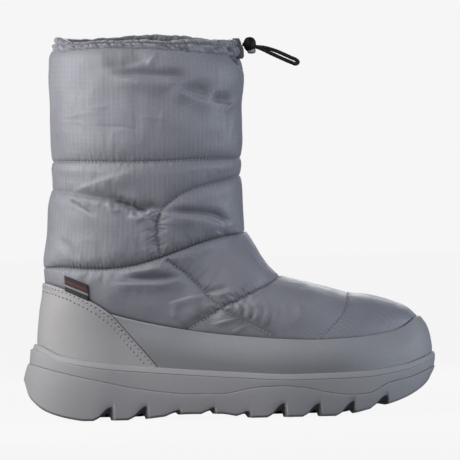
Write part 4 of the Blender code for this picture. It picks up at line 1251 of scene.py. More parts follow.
def grain_group():
    """Fine skin of leather, foam and rubber: rounded cells and a little noise of the object's own places."""
    group, given, made = new_group("grain", "Scale Cells", "Grain")
    place = {"Vector": own_place(group), "Scale": given["Scale"]}
    cells = add_node(group, "ShaderNodeTexVoronoi", place, feature="SMOOTH_F1")
    noise = add_node(group, "ShaderNodeTexNoise", {**place, "Detail": 4.0})
    part = product(group, cells.outputs["Distance"], given["Cells"])
    group.links.new(math_node(group, "ADD", part, noise.outputs["Fac"]), made["Grain"])
    return group


EFFECTS = {"ripstop": ripstop_group, "tone": tone_group, "grain": grain_group}


def use_group(tree, name, inputs):
    """A shared effect in a material with its own values, built the first time that it is asked for."""
    node = tree.nodes.new("ShaderNodeGroup")
    node.node_tree = bpy.data.node_groups.get(name) or EFFECTS[name]()
    for key, value in inputs.items():
        feed(tree, node.inputs[key], value)
    return node.outputs


def mixed(tree, share, first, second):
    """A colour between two colours or sockets."""
    node = add_node(tree, "ShaderNodeMix", {"Factor": share}, data_type="RGBA")
    for socket, value in zip((s for s in node.inputs if s.type == "RGBA"), (first, second)):
        feed(tree, socket, value)
    return next(s for s in node.outputs if s.type == "RGBA")


def toned(colour, factor):
    """A colour made lighter or darker, with alpha one."""
    return (*(min(1.0, channel * factor) for channel in colour[:3]), 1.0)


def new_material(name, **values):
    """A material and its tree, with plain values set on the shader's own sockets."""
    material = bpy.data.materials.new(name)
    material.use_nodes = True
    tree = material.node_tree
    shader = tree.nodes["Principled BSDF"]
    for key, value in values.items():
        shader.inputs[key.replace("_", " ")].default_value = value
    return material, tree, shader


def bump(tree, shader, height, distance, strength=1.0):
    """Send a height to the shader's normal."""
    node = add_node(tree, "ShaderNodeBump", {"Height": height, "Distance": distance, "Strength": strength})
    tree.links.new(node.outputs["Normal"], shader.inputs["Normal"])


def nylon_material(name, colour, pitch):
    """Satin ripstop nylon: light threads on a grid, painted shade in the folds, slow change of tone and fine
    crinkles.
    """
    material, tree, shader = new_material(
        name, Sheen_Weight=0.2, Sheen_Roughness=0.45, Specular_IOR_Level=0.5)
    cloth = add_node(tree, "ShaderNodeUVMap", uv_map="cloth").outputs["UV"]
    threads = use_group(tree, "ripstop", {"Cloth": cloth, "Pitch": pitch})
    tone = use_group(tree, "tone", {"Scale": 26.0})["Tone"]
    patchy = use_group(tree, "tone", {"Scale": 90.0})["Tone"]
    fold = add_node(tree, "ShaderNodeAttribute", attribute_name="fold").outputs["Fac"]
    base = mixed(tree, tone, *(toned(colour, factor) for factor in NYLON_TONES))
    for label, patches in (("Warp", patchy), ("Weft", tone)):
        share, light = NYLON[label]
        base = mixed(tree, product(tree, threads[label], patches, share), base, toned(colour, light))
    # Painted shade: darker colour where the cloth's folds lie in shade, darker still in deep folds
    for low, label in enumerate(("fold", "deep_fold")):
        share, shade_tone = NYLON[label]
        base = mixed(tree, ramp(tree, fold, low, low + 1, 0.0, share), base, toned(colour, shade_tone))
    tree.links.new(base, shader.inputs["Base Color"])
    tree.links.new(ramp(tree, patchy, 0.0, 1.0, *NYLON_ROUGH), shader.inputs["Roughness"])
    noise = {"Vector": own_place(tree), "Scale": 170.0, "Detail": 3.0, "Distortion": 0.8}
    height = add_node(tree, "ShaderNodeTexNoise", noise).outputs["Fac"]
    for label in ("Weave", "Warp"):
        height = math_node(tree, "ADD", height, product(tree, threads[label], NYLON_BUMP[label]))
    bump(tree, shader, height, NYLON_BUMP["distance"], NYLON_BUMP["strength"])
    return material


def skin_material(name, colour, shade_tone=None, gloss=0.4):
    """A moulded or coated skin: fine grain in its bump and roughness, and a slow change of tone."""
    roughness, scale, cells, depth, spread = SKINS[name]
    material, tree, shader = new_material(name, Specular_IOR_Level=gloss)
    grain = use_group(tree, "grain", {"Scale": scale, "Cells": cells})["Grain"]
    tone = use_group(tree, "tone", {"Scale": 14.0})["Tone"]
    speck = use_group(tree, "tone", {"Scale": 260.0})["Tone"]
    base = mixed(tree, tone, toned(colour, 1 - spread), toned(colour, 1 + spread))
    share, darker = SKIN_SPECKS
    base = mixed(tree, product(tree, speck, share), base, toned(colour, darker))
    # Painted shade: where the mesh marks shade, the colour darkens towards the given tone
    if shade_tone:
        fold = add_node(tree, "ShaderNodeAttribute", attribute_name="fold").outputs["Fac"]
        base = mixed(tree, fold, base, toned(colour, shade_tone))
    tree.links.new(base, shader.inputs["Base Color"])
    rough = (roughness + change for change in SKIN_ROUGH)
    tree.links.new(ramp(tree, grain, 0.2, 1.2, *rough), shader.inputs["Roughness"])
    bump(tree, shader, grain, depth)
    return material


def woven_material(name, colour, pitch, light, stripes=()):
    """Woven cloth on the piece's own places: ribs of warp and weft, and plain stripes across it."""
    material, tree, shader = new_material(name, Roughness=0.75, Sheen_Weight=0.2)
    cloth = add_node(tree, "ShaderNodeUVMap", uv_map="cloth").outputs["UV"]
    threads = use_group(tree, "ripstop", {"Cloth": cloth, "Pitch": pitch})
    base = mixed(tree, threads["Warp"], toned(colour, 1.0), toned(colour, light))
    up = add_node(tree, "ShaderNodeSeparateXYZ", {0: cloth}).outputs["Y"]
    for middle, half, stripe in stripes:
        off = math_node(tree, "ABSOLUTE", math_node(tree, "SUBTRACT", up, middle))
        base = mixed(tree, ramp(tree, off, half, half * 0.7), base, stripe)
    tree.links.new(base, shader.inputs["Base Color"])
    height = math_node(tree, "ADD", threads["Warp"], threads["Weft"])
    bump(tree, shader, height, 0.0002)
    return material


# Settings that a user would change


def length(name, description, millimetres):
    """A length setting, given in millimetres and kept in metres."""
    return bpy.props.FloatProperty(
        name=name, description=description, default=millimetres * MM, min=0.0, unit="LENGTH", precision=5,
    )


def colour(name, description, value):
    """A colour setting in linear light."""
    return bpy.props.FloatVectorProperty(
        name=name, description=description, default=value, min=0.0, max=1.0, size=3, subtype="COLOR",
    )


def angle(name, description, degrees):
    """An angle setting, given in degrees and kept in radians."""
    return bpy.props.FloatProperty(
        name=name, description=description, default=math.radians(degrees), unit="ROTATION",
    )


class BootSizes(bpy.types.PropertyGroup):
    """Sizes of cloth, thread and trim."""

    fold_scale: bpy.props.FloatProperty(
        name="Folds", description="Height of puckers and creases", default=1.0, min=0.0, subtype="FACTOR",
    )
    ripstop_pitch: length("Ripstop", "Distance between the thicker threads of the nylon", 3.6)
    stitch_pitch: length("Stitch pitch", "Distance from one stitch to the next", STITCH)
    stitch_length: length("Stitch length", "Length of the thread that shows in one stitch", 2.2)
    thread: length("Thread", "Thickness of the sewing thread", 0.6)
    counter_inset: length("Counter stitching", "From the counter's edge to its first row of stitches", 2.4)
    counter_rows: length("Counter rows", "Distance between the counter's two rows of stitches", 2.6)
    gather: length("Gathers", "Height of the gathers in the collar casing", 1.5)


class BootColours(bpy.types.PropertyGroup):
    """Colours of cloth, rubber and trim."""

    nylon: colour("Nylon", "Quilted cloth", (0.222, 0.225, 0.262))
    lining: colour("Lining", "Fleece inside the boot", (0.05, 0.05, 0.056))
    rand: colour("Rand", "Coated band above the sole", (0.292, 0.297, 0.324))
    counter: colour("Counter", "Coated patch round the heel", (0.328, 0.325, 0.338))
    foam: colour("Foam", "Midsole", (0.309, 0.309, 0.328))
    rubber: colour("Rubber", "Outsole", (0.29, 0.291, 0.312))
    black: colour("Black", "Grip rubber, lock and cord", (0.005, 0.0056, 0.0062))
    thread: colour("Thread", "Sewing thread of the quilting", (0.34, 0.342, 0.37))
    counter_thread: colour("Counter thread", "Sewing thread of the counter", (0.36, 0.358, 0.37))
    # Painted shade: the dark colour of the rods in the counter's needle holes
    holes: colour("Holes", "Needle holes of the counter", (0.09, 0.09, 0.095))
    button: colour("Button", "Push button of the lock", (0.3, 0.3, 0.32))
    tab: colour("Tab", "Cloth tab where the cord comes out", (0.075, 0.08, 0.085))
    tag: colour("Tag", "Woven side tag", (0.012, 0.0105, 0.011))
    dark_stripe: colour("Dark stripe", "Upper stripe of the tag", (0.13, 0.018, 0.02))
    pale_stripe: colour("Pale stripe", "Lower stripe of the tag", (0.3, 0.3, 0.31))


class BootStage(bpy.types.PropertyGroup):
    """Camera and light."""

    view_width: length("View width", "Width of the picture at the boot's middle", 326.0)
    view_x: bpy.props.FloatProperty(
        name="View x", description="Point in the middle of the picture, along the boot", default=0.00235,
        unit="LENGTH")
    view_z: length("View height", "Height of the point in the middle of the picture", 132.3)
    distance: length("Distance", "From the camera to the boot", 8000.0)
    elevation: angle("Elevation", "How far the camera looks down", 0.4)
    roll: angle("Roll", "Turn of the camera about its own line of sight", 1.3)
    pale: bpy.props.FloatProperty(
        name="Pale", description="Brightness of floor and background", default=0.92, min=0.0,
        subtype="FACTOR")


class BootOperator(bpy.types.Operator):
    """Shared by all the steps: the settings of the scene."""

    bl_options = {"REGISTER", "UNDO"}

    def execute(self, context):
        self.make(context.scene.boot_sizes, context.scene.boot_colours, context.scene.boot_stage)
        return {"FINISHED"}


class BOOT_OT_stage(BootOperator):
    """Camera at the photograph's angle, pale floor and soft studio light"""

    bl_idname = "boot.stage"
    bl_label = "Stage"

    def make(self, sizes, colours, stage):
        self.add_camera(stage)
        self.add_floor(stage)
        for name, turn, rise, distance, power, tint in LIGHTS:
            self.add_light(name, math.radians(turn), math.radians(rise), distance, power, tint)
        self.add_world(stage)
        bpy.context.scene.view_settings.view_transform = "Standard"

    def add_camera(self, stage):
        """Look along +Y at the middle of the picture; the roll turns right and up axes together."""
        down, roll = stage.elevation, stage.roll
        right = Vector((1, 0, 0))
        up = Vector((0, math.sin(down), math.cos(down)))
        ahead = Vector((0, math.cos(down), -math.sin(down)))
        turned_right = right * math.cos(roll) - up * math.sin(roll)
        turned_up = right * math.sin(roll) + up * math.cos(roll)
        data = bpy.data.cameras.new("camera")
        data.sensor_width = SENSOR
        data.lens = data.sensor_width * stage.distance / stage.view_width
        camera = bpy.data.objects.new("camera", data)
        place = Vector((stage.view_x, 0, stage.view_z)) - ahead * stage.distance
        turn = Matrix((turned_right, turned_up, -ahead)).transposed().to_4x4()
        camera.matrix_world = Matrix.Translation(place) @ turn
        bpy.context.scene.collection.objects.link(camera)
        bpy.context.scene.camera = camera

    def add_floor(self, stage):
        """A wide round floor: rings of points from the middle out, under the boot."""
        turn = np.arange(FLOOR_COLUMNS) * 2 * math.pi / FLOOR_COLUMNS
        reach = np.array(FLOOR_REACH)[:, None] / MM
        grid = np.stack((reach * np.cos(turn), reach * np.sin(turn), 0 * reach * turn), axis=-1) + MIDDLE
        quads = ring_quads(len(reach), FLOOR_COLUMNS, False)[:, ::-1]
        mesh = put_mesh("floor", grid, [quads, np.arange(FLOOR_COLUMNS)[None, :]])
        material, tree, shader = new_material("floor_paint", Roughness=0.9, Specular_IOR_Level=0.0)
        noise = add_node(tree, "ShaderNodeTexNoise", {"Vector": own_place(tree), "Scale": 60.0})
        paint = mixed(tree, noise.outputs["Fac"], *(toned((1, 1, 1), tone) for tone in FLOOR_TONES))
        tree.links.new(paint, shader.inputs["Base Color"])
        shader.inputs["Emission Color"].default_value = (1, 1, 1, 1)
        seen = add_node(tree, "ShaderNodeLightPath").outputs["Is Camera Ray"]
        dim, share = FLOOR_GLOW
        glow = ramp(tree, seen, 0.0, 1.0, dim, stage.pale * share)
        tree.links.new(glow, shader.inputs["Emission Strength"])
        mesh.materials.append(material)
        floor = bpy.data.objects.new("floor", mesh)
        bpy.context.scene.collection.objects.link(floor)

    def add_light(self, name, turn, rise, distance, power, tint):
        """A soft square light that faces the middle of the boot, turned about it from the camera's side."""
        data = bpy.data.lights.new(name, "AREA")
        data.shape = "SQUARE"
        data.size = LIGHT_SIZE
        data.energy = power
        data.color = tint
        light = bpy.data.objects.new(name, data)
        away = Vector((math.sin(turn) * math.cos(rise), -math.cos(turn) * math.cos(rise), math.sin(rise)))
        light.location = Vector((0, 0, LIGHT_AIM)) + distance * away
        light.rotation_euler = away.to_track_quat("Z", "Y").to_euler()
        bpy.context.scene.collection.objects.link(light)

    def add_world(self, stage):
        """A pale background that lights the boot more weakly than it looks."""
        world = bpy.data.worlds.new("studio")
        world.use_nodes = True
        tree = world.node_tree
        seen = add_node(tree, "ShaderNodeLightPath").outputs["Is Camera Ray"]
        shader = tree.nodes["Background"]
        shader.inputs["Color"].default_value = (1, 1, 1, 1)
        tree.links.new(ramp(tree, seen, 0.0, 1.0, WORLD_GLOW, stage.pale), shader.inputs["Strength"])
        bpy.context.scene.world = world


class BOOT_OT_drawcord(BootOperator):
    """Braided elastic loop out of the collar, through the lock and back, with the lock on it"""

    bl_idname = "boot.drawcord"
    bl_label = "Drawcord"

    def make(self, sizes, colours, stage):
        path = self.route()
        lock = self.add_lock(colours)
        button = self.add_button(colours)
        cord = self.add_braid(path, colours)

    def route(self):
        """The loop's own points, drawn through by one smooth curve close to the boot's middle plane."""
        there = np.stack((LOOP["x"], LOOP["aside"], LOOP["above"]), axis=-1)
        bend = np.stack((LOOP_END["x"], 0 * LOOP_END["x"], LOOP_END["z"]), axis=-1)
        back = np.stack((LOOP["x"], -LOOP["aside"], LOOP["below"]), axis=-1)[::-1]
        points = np.concatenate((there, bend, back)) + (0, 0, LOCK["z"])
        knots = {"t": np.arange(len(points), dtype=float), **dict(zip("xyz", points.T))}
        fine = np.linspace(0, len(points) - 1, BRAID["rows"])
        return np.stack([through(knots, "t", axis)(fine) for axis in "xyz"], axis=-1)

    def add_braid(self, path, colours):
        """A tube whose radius rises where two sets of strands, wound both ways, cross over each other."""
        columns = BRAID["columns"]
        around = np.arange(columns) * 2 * math.pi / columns
        along = unit(np.gradient(path, axis=0))
        out = unit(np.cross(np.array((0.0, 1.0, 0.0)), along))
        across = np.cross(along, out)
        wind = 2 * math.pi * run_along(path)[:, None] / BRAID["pitch"]
        strands = BRAID["strands"] * around
        braid = np.abs(np.sin(strands + wind)) * np.abs(np.sin(strands - wind))
        radius = CORD / 2 - BRAID["sunk"] + BRAID["raised"] * braid
        across = np.cos(around)[None, :, None] * across[:, None, :]
        out = np.sin(around)[None, :, None] * out[:, None, :]
        grid = path[:, None, :] + radius[..., None] * (across + out)
        faces = [ring_quads(len(path), columns, False), end_caps(len(path), columns)]
        mesh = put_mesh("drawcord_braid", grid, faces, turn_out=True)
        return add_piece(mesh, skin_material("elastic_braid", colours.black), ["drawcord"])

    def add_lock(self, colours):
        """A turned barrel with a groove near its top and one near its bottom."""
        mesh = turned_solid("cord_lock_barrel", LOCK, LOCK_FORM, LOCK_GROOVES)
        material = skin_material("lock_plastic", colours.black, gloss=LOCK_GLOSS)
        return add_piece(mesh, material, ["cord_lock"])

    def add_button(self, colours):
        """The lock's push button: a flat dome under the barrel."""
        mesh = turned_solid("cord_lock_button", BUTTON, BUTTON_FORM)
        return add_piece(mesh, skin_material("button_plastic", colours.button))


class BOOT_OT_upper(BootOperator):
    """Quilted nylon of shaft and vamp, with their puckers, creases and sewing thread"""

    bl_idname = "boot.upper"
    bl_label = "Quilted upper"

    def make(self, sizes, colours, stage):
        nylon = nylon_material("quilted_nylon", colours.nylon, sizes.ripstop_pitch)
        thread = skin_material("seam_thread", colours.thread)
        sewn = []
        x, z, side, ring_lines = shaft_grid()
        lines = seam_lines(ring_lines, ("ankle", "cinch", "arc", "upper_baffle", "collar", "upright"))
        base, fine, nearest, share, fold = quilt_relief(x, z, side, lines, sizes.fold_scale)
        held = nearest < SEWN_WITHIN
        held[[0, -1]] = True
        mesh, smooth, cloth, normal = quilted_shell(
            "upper_shaft", x, z, side, base, fine, held, share, fold, 0.0)
        add_piece(mesh, nylon, ["upper"])
        for name in ("arc", "upper_baffle", "upright"):
            sewn += self.sew(lines[name], cloth, normal, smooth, sizes)

        lines = seam_lines({"ankle": ring_lines["ankle"], "rand": edge_line()},
                           ("ankle", "forward", "rearward", "toe", "rand"))
        x, z, side = vamp_grid()
        base, fine, nearest, share, fold = quilt_relief(x, z, side, lines, sizes.fold_scale)
        under = smooth_step(overlay_edge(x) + VAMP_SUNK["above"] - z, 0, VAMP_SUNK["over"])
        base = base * (1 - under) - (OVERLAY_SINK + VAMP_SUNK["more"]) * under - tuck_in(x, z)
        above = np.maximum(z - overlay_edge(x), 0)
        # Painted shade: a thin dark line on the cloth along the overlays' top edge, and a wider shade in the
        # corner above them
        fold = fold + VAMP_SHADE["near"] * np.exp(-((above / VAMP_SHADE["width"]) ** 2))
        behind = 1 - smooth_step(x, *VAMP_SHADE["ahead"])
        fold = fold + VAMP_SHADE["wide"] * np.exp(-above / VAMP_SHADE["reach"]) * behind
        held = (nearest < SEWN_WITHIN) | (under > VAMP_SUNK["held"])
        held[[0, -1]] = True
        mesh, smooth, cloth, normal = quilted_shell(
            "upper_vamp", x, z, side, base, fine * (1 - under), held, share, fold, VAMP_TURN)
        add_piece(mesh, nylon, ["upper"])
        for name in ("forward", "rearward", "toe"):
            sewn += self.sew(lines[name], cloth, normal, smooth, sizes)
        add_piece(rod_mesh("seam_stitches", sewn), thread)

    def sew(self, line, cloth, normal, smooth, sizes):
        """Stitches along one seam on both sides of the boot, sunk into the bottom of its valley."""
        rods = []
        for side in (-1.0, 1.0):
            laid, out = on_cloth(line, side, cloth, normal, smooth)
            places, along = even_places(laid, sizes.stitch_pitch / MM)
            outward = spread_out(out, len(places))
            thick = sizes.thread / MM
            rods.append(beads(
                places + outward * STITCH_LIFT, along, outward, sizes.stitch_length / MM, thick, thick))
        return rods


class BOOT_OT_lining(BootOperator):
    """Fleece lining inside the boot, and felt on the insole"""

    bl_idname = "boot.lining"
    bl_label = "Lining"

    def make(self, sizes, colours, stage):
        share, side = ring_columns(LINING_GRID["half"])
        climb = np.linspace(0, 1, LINING_GRID["rows"])[:, None]
        rows = [ring_points(k, climb[min(k, 1):], share[None, :]) for k in range(4)]
        x, z = (np.concatenate([row[i] for row in rows]) for i in range(2))
        side = side[None, :] + 0 * x
        smooth = on_last(x, z, side)
        normal = grid_normals(smooth, True)
        pile = LINING_GRID["pile"] * soft_noise(smooth, LINING_GRID["cell"], LINING_GRID["seed"])
        inner = smooth - normal * (WALL + pile)[..., None]
        outer = smooth - normal * (WALL - LINING_GRID["thick"])
        points = np.concatenate((outer, inner[::-1]))
        mesh = put_mesh("fleece_lining", points, [ring_quads(len(points), x.shape[1], True)])
        add_piece(mesh, skin_material("fleece", colours.lining))
        felt = skin_material("insole_felt", colours.lining)
        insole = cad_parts["insole"]
        insole.data.materials.clear()
        insole.data.materials.append(felt)


class BOOT_OT_casing(BootOperator):
    """Gathered tunnel of nylon round the collar, and the cloth tab where the cord comes out"""

    bl_idname = "boot.casing"
    bl_label = "Collar casing"

    def make(self, sizes, colours, stage):
        self.add_band(sizes, colours)
        self.add_tab(colours)

    def add_band(self, sizes, colours):
        """The casing's section carried round the collar ring; gathers are noise of the length round it."""
        rows = CASING_GRID["rows"]
        share, side = ring_columns(CASING_GRID["half"])
        x, z = ring_points(3, np.ones((1, 1)), share[None, :])
        ring = on_last(x, z, side[None, :])[0]
        along = np.roll(ring, -1, 0) - np.roll(ring, 1, 0)
        out = unit(np.cross(along, np.array((0.0, 0.0, 1.0))))
        run = run_along(np.concatenate((ring, ring[:1])))
        t = np.linspace(0, len(CASING["inset"]) - 1, rows)
        knots = {"t": np.arange(len(CASING["inset"]), dtype=float), **CASING}
        inset, rise, gather = (through(knots, "t", key)(t)[:, None] for key in ("inset", "rise", "gather"))
        round_ring = run[None, :-1] + CASING_GRID["lean"] * rise
        place = np.stack(np.broadcast_arrays(round_ring, 0.0, CASING_GRID["spread"] * t[:, None]), axis=-1)
        ruffle = sum(part * (2 * np.abs(soft_noise(place, np.array(cell), seed)) ** power - mean)
                     for cell, power, mean, part, seed in GATHERS)
        cell, part, seed = GATHERS_SLOW
        ruffle = gather * sizes.gather / MM * (ruffle + part * soft_noise(place, np.array(cell), seed))
        near_side, far_side = (through(CASING_TALL, "share", key)(share) for key in ("near", "far"))
        tall = np.where(rise > 0, np.where(side < 0, near_side, far_side), 1.0)
        inset = inset - CASING_FRONT["out"] * smooth_step(share, CASING_FRONT["from"], CASING_FRONT["to"])
        cell, part, seed = CASING_UNEVEN
        lift = rise * tall * (1 + part * soft_noise(place, np.array(cell), seed))
        lift = lift + CASING_GRID["lift"] * ruffle
        off = (ring[:, 0] - CASING_PINCH["x"]) / CASING_PINCH["width"]
        pinch = CASING_PINCH["depth"] * np.exp(-(off ** 2)) * gather
        grid = ring[None] + out[None] * (ruffle - inset - pinch)[..., None]
        grid[..., 2] += lift
        uv = ring_uv(*np.broadcast_arrays(
            run[None, :] * CASING_CLOTH[0], np.append(t, t[-1])[:, None] * CASING_CLOTH[1]), rows)
        # Painted shade: the casing's colour darkens in the hollows of the gathers and on its inner rows seen
        # in the gap
        inside = CASING_SHADE["inside"] * smooth_step(t, *CASING_SHADE["rows"])[:, None]
        fold = np.maximum(np.clip(-ruffle / CASING_SHADE["gather"], 0, CASING_SHADE["most"]), inside)
        mesh = put_mesh("collar_gathers", grid, [ring_quads(rows, len(ring), True)], [uv], {"fold": fold})
        nylon = nylon_material("casing_nylon", colours.nylon, sizes.ripstop_pitch)
        add_piece(mesh, nylon, ["collar_casing"])

    def add_tab(self, colours):
        """A tongue of folded cloth that follows the front of the collar, puffed in its middle."""
        rows, columns = TAB_GRID
        share = np.linspace(-1, 1, columns)[None, :]
        height = np.linspace(TAB["z"][0], TAB["z"][-1], rows)[:, None]
        z = height + 0 * share
        y = through(TAB, "z", "half")(height) * share
        low = np.minimum(z, TAB_UPRIGHT)
        back, front = shaft_back(low), shaft_front(low)
        x = (front + back) / 2 + (front - back) / 2 * oval(y / shaft_half(low), SHAFT_POWER) - TAB_SINK
        skin = np.stack((x, y, z), axis=-1)
        round_off = 1 - 0.35 * share ** 2 - 0.5 * share ** 8
        thick = TAB_SINK + through(TAB, "z", "puff")(height)
        puff = np.stack((thick * round_off, 0 * y, 0 * z), axis=-1)
        cloth = np.stack((y, z), axis=-1).reshape(-1, 2)
        faces = plate_faces(*z.shape)
        uv = [np.concatenate((cloth, cloth))[faces]]
        mesh = put_mesh("cord_tab_cloth", np.concatenate((skin + puff, skin)), [faces], uv, turn_out=True)
        add_piece(mesh, woven_material("tab_cloth", colours.tab, *TAB_WEAVE), ["cord_tab"])


class BOOT_OT_overlays(BootOperator):
    """Coated rand and heel counter, the counter's stitches and the side tag"""

    bl_idname = "boot.overlays"
    bl_label = "Rand and counter"

    def make(self, sizes, colours, stage):
        self.add_counter(sizes, colours)
        self.add_rand(colours)
        self.add_tag(colours)

    def plate(self, name, x, z, side, edge, attributes=None):
        """A plate over the last, full in thickness inside and rounded down to nothing at its free edge."""
        points = on_last(x, z, side)
        normal = grid_normals(points, False)
        points = points - normal * tuck_in(x, z)[..., None]
        normal = grid_normals(points, False)
        crown = np.sqrt(np.clip(1 - (1 - np.clip(edge / OVERLAY_EDGE, 0, 1)) ** 2, 0, 1))
        narrow = 1 - smooth_step(half_width(x, z), *OVERLAY_NARROW)
        crown = crown * (1 + narrow * np.where(x > HEEL_BLEND, OVERLAY_MORE["toe"], OVERLAY_MORE["heel"]))
        outer = points + normal * (OVERLAY_GAP - OVERLAY_OVER + OVERLAY_SHOWN * crown)[..., None]
        inner = points + normal * (OVERLAY_GAP - OVERLAY_UNDER)
        both = {key: np.concatenate((values, values)) for key, values in (attributes or {}).items()}
        points = np.concatenate((outer, inner))
        mesh = put_mesh(name, points, [plate_faces(*x.shape)], None, both, turn_out=True)
        return mesh, outer, normal

    def rows_to_edge(self, count):
        """Shares from the tucked edge to the free edge, crowded at the free edge."""
        t = np.linspace(0, 1, count)
        return (1 - (1 - t) ** EDGE_CROWD)[:, None]

    def from_edge(self, x, z, top):
        """Distance below a sloping top edge: the drop to it, shortened by the slope."""
        slope = (top(x + SLOPE_STEP) - top(x - SLOPE_STEP)) / (2 * SLOPE_STEP)
        return (top(x) - z) / np.sqrt(1 + slope ** 2)

    def height(self, x, top, share):
        """Height at a share of the way from the tucked lower edge to the top edge."""
        bottom = np.maximum(joint_z(x) - TUCK, floor_z(x) + TUCK_CLEAR)
        return bottom + (top(x) - bottom) * share

    def add_counter(self, sizes, colours):
        """Columns spread from the middle of the heel to both ends; settled so that each lies on the last."""
        turn = np.linspace(1, -1, COUNTER_GRID["columns"])[None, :]
        share = np.abs(turn) ** COUNTER_GRID["crowd"]
        t = self.rows_to_edge(COUNTER_GRID["rows"])
        x = HEEL_BACK + (COUNTER_END - HEEL_BACK) * share
        for _ in range(LAY_ROUNDS):
            z = self.height(x, counter_top, t)
            x = shaft_back(z) + (COUNTER_END - shaft_back(z)) * share
        edge = self.from_edge(x, z, counter_top)
        mesh, outer, normal = self.plate("heel_counter_skin", x, z, np.sign(turn) + 0 * t, edge)
        add_piece(mesh, skin_material("counter_coated", colours.counter), ["heel_counter"])
        self.sew_counter(sizes, colours, outer, normal, edge)

    def sew_counter(self, sizes, colours, outer, normal, edge):
        """Two rows of stitches inside the counter's edge, half a step apart, each with a dark rod of painted
        shade for its hole.
        """
        stitch, hole = COUNTER_STITCH, COUNTER_HOLE
        thread = []
        holes = []
        for row in range(2):
            inset = (sizes.counter_inset + row * sizes.counter_rows) / MM
            deep = edge > inset
            last = len(edge) - 1 - np.argmax(deep[::-1], axis=0)
            columns = np.flatnonzero(deep.any(axis=0))
            line = outer[last[columns], columns]
            out = normal[last[columns], columns]
            rim = LINE_BLUR // 2
            blur = np.ones(LINE_BLUR) / LINE_BLUR
            line[rim:-rim] = np.stack([np.convolve(axis, blur, "valid") for axis in line.T], axis=-1)
            places, along = even_places(line, stitch["pitch"])
            outward = spread_out(out, len(places))
            across = unit(np.cross(outward, along))
            lean = unit(along + stitch["lean"] * (1 - 2 * row) * across)
            places = places + along * stitch["pitch"] / 2 * row
            thread.append(beads(places, lean, outward, stitch["long"], stitch["wide"], stitch["tall"]))
            # Painted shade: a dark rod sunk into each needle hole
            places = places + lean * hole["ahead"] - outward * hole["sunk"]
            holes.append(beads(places, along, outward, hole["long"], hole["wide"], hole["tall"]))
        material = skin_material("counter_thread", colours.counter_thread)
        add_piece(rod_mesh("counter_stitches", thread), material)
        material = skin_material("stitch_holes", colours.holes)
        add_piece(rod_mesh("counter_stitch_holes", holes), material)

    def add_rand(self, colours):
        """Columns spread from the tip of the toe to both ends, where the counter's edge cuts it off."""
        turn = np.linspace(-1, 1, RAND_GRID["columns"])[None, :]
        t = self.rows_to_edge(RAND_GRID["rows"])
        scan = np.linspace(*RAND_SCAN)[None, :]
        behind = np.where(scan < COUNTER_END + BUTT, counter_top(scan) + BUTT, 0)
        lead = self.height(scan, rand_top, t) - behind
        first = np.argmax(lead > 0, axis=1)
        end = scan[0, first][:, None]
        share = np.abs(turn) ** RAND_GRID["crowd"]
        x = TOE_TIP - (TOE_TIP - end) * share
        for _ in range(LAY_ROUNDS):
            z = self.height(x, rand_top, t)
            x = vamp_x(z) - (vamp_x(z) - end) * share
        edge = self.from_edge(x, z, rand_top)
        order = slice(None, None, -1)
        # Painted shade: the rand darkens towards its foot by the sole, fading out towards the toe
        ahead = smooth_step(x, *RAND_SHADE["ahead"])
        foot = smooth_step(rand_top(x) - z, *RAND_SHADE["down"]) * (1 - ahead)
        mesh = self.plate(
            "rand_skin", x[:, order], z[:, order], (np.sign(turn) + 0 * t)[:, order] * -1.0, edge[:, order],
            {"fold": foot[:, order]})[0]
        add_piece(mesh, skin_material("rand_coated", colours.rand, RAND_FOOT_SHADE), ["rand"])

    def add_tag(self, colours):
        """A folded woven tag that stands off the cloth, with rounded edges and a slight curl."""
        rows, columns = TAG_GRID
        across = np.linspace(0, 1, columns)[None, :]
        up = np.linspace(0, 1, rows)[:, None]
        x = TAG["back"][0] + (TAG["front"][0] - TAG["back"][0]) * across + 0 * up
        z = TAG["back"][1] + (TAG["front"][1] - TAG["back"][1]) * across + TAG["height"] * up
        points = on_last(x, z, -1 + 0 * x)
        normal = grid_normals(points, False)
        wave = TAG_CURL["wave"] * np.sin(TAG_CURL["turns"] * across) * up
        curl = TAG_CURL["rise"] * (up - TAG_CURL["flat"]) ** 2 + wave
        flat = (1 - np.abs(2 * part - 1) ** TAG_EDGE["power"] for part in (across, up))
        crown = TAG["thick"] / 2 * math.prod(flat) + TAG_EDGE["thin"]
        middle = points + normal * (TAG["off"] + TAG["thick"] / 2 + curl)[..., None]
        outer = middle + normal * crown[..., None]
        inner = middle - normal * crown[..., None]
        place = np.broadcast_arrays(across * TAG["cloth"], up * TAG["height"])
        place = np.stack(place, axis=-1).reshape(-1, 2)
        faces = plate_faces(*x.shape)
        uv = [np.concatenate((place, place))[faces]]
        mesh = put_mesh("side_tag_woven", np.concatenate((outer, inner)), [faces], uv, turn_out=True)
        stripes = [(*place, toned(getattr(colours, key), 1.0)) for key, place in TAG_STRIPES.items()]
        material = woven_material("tag_woven", colours.tag, *TAG_WEAVE, stripes)
        add_piece(mesh, material, ["side_tag"])


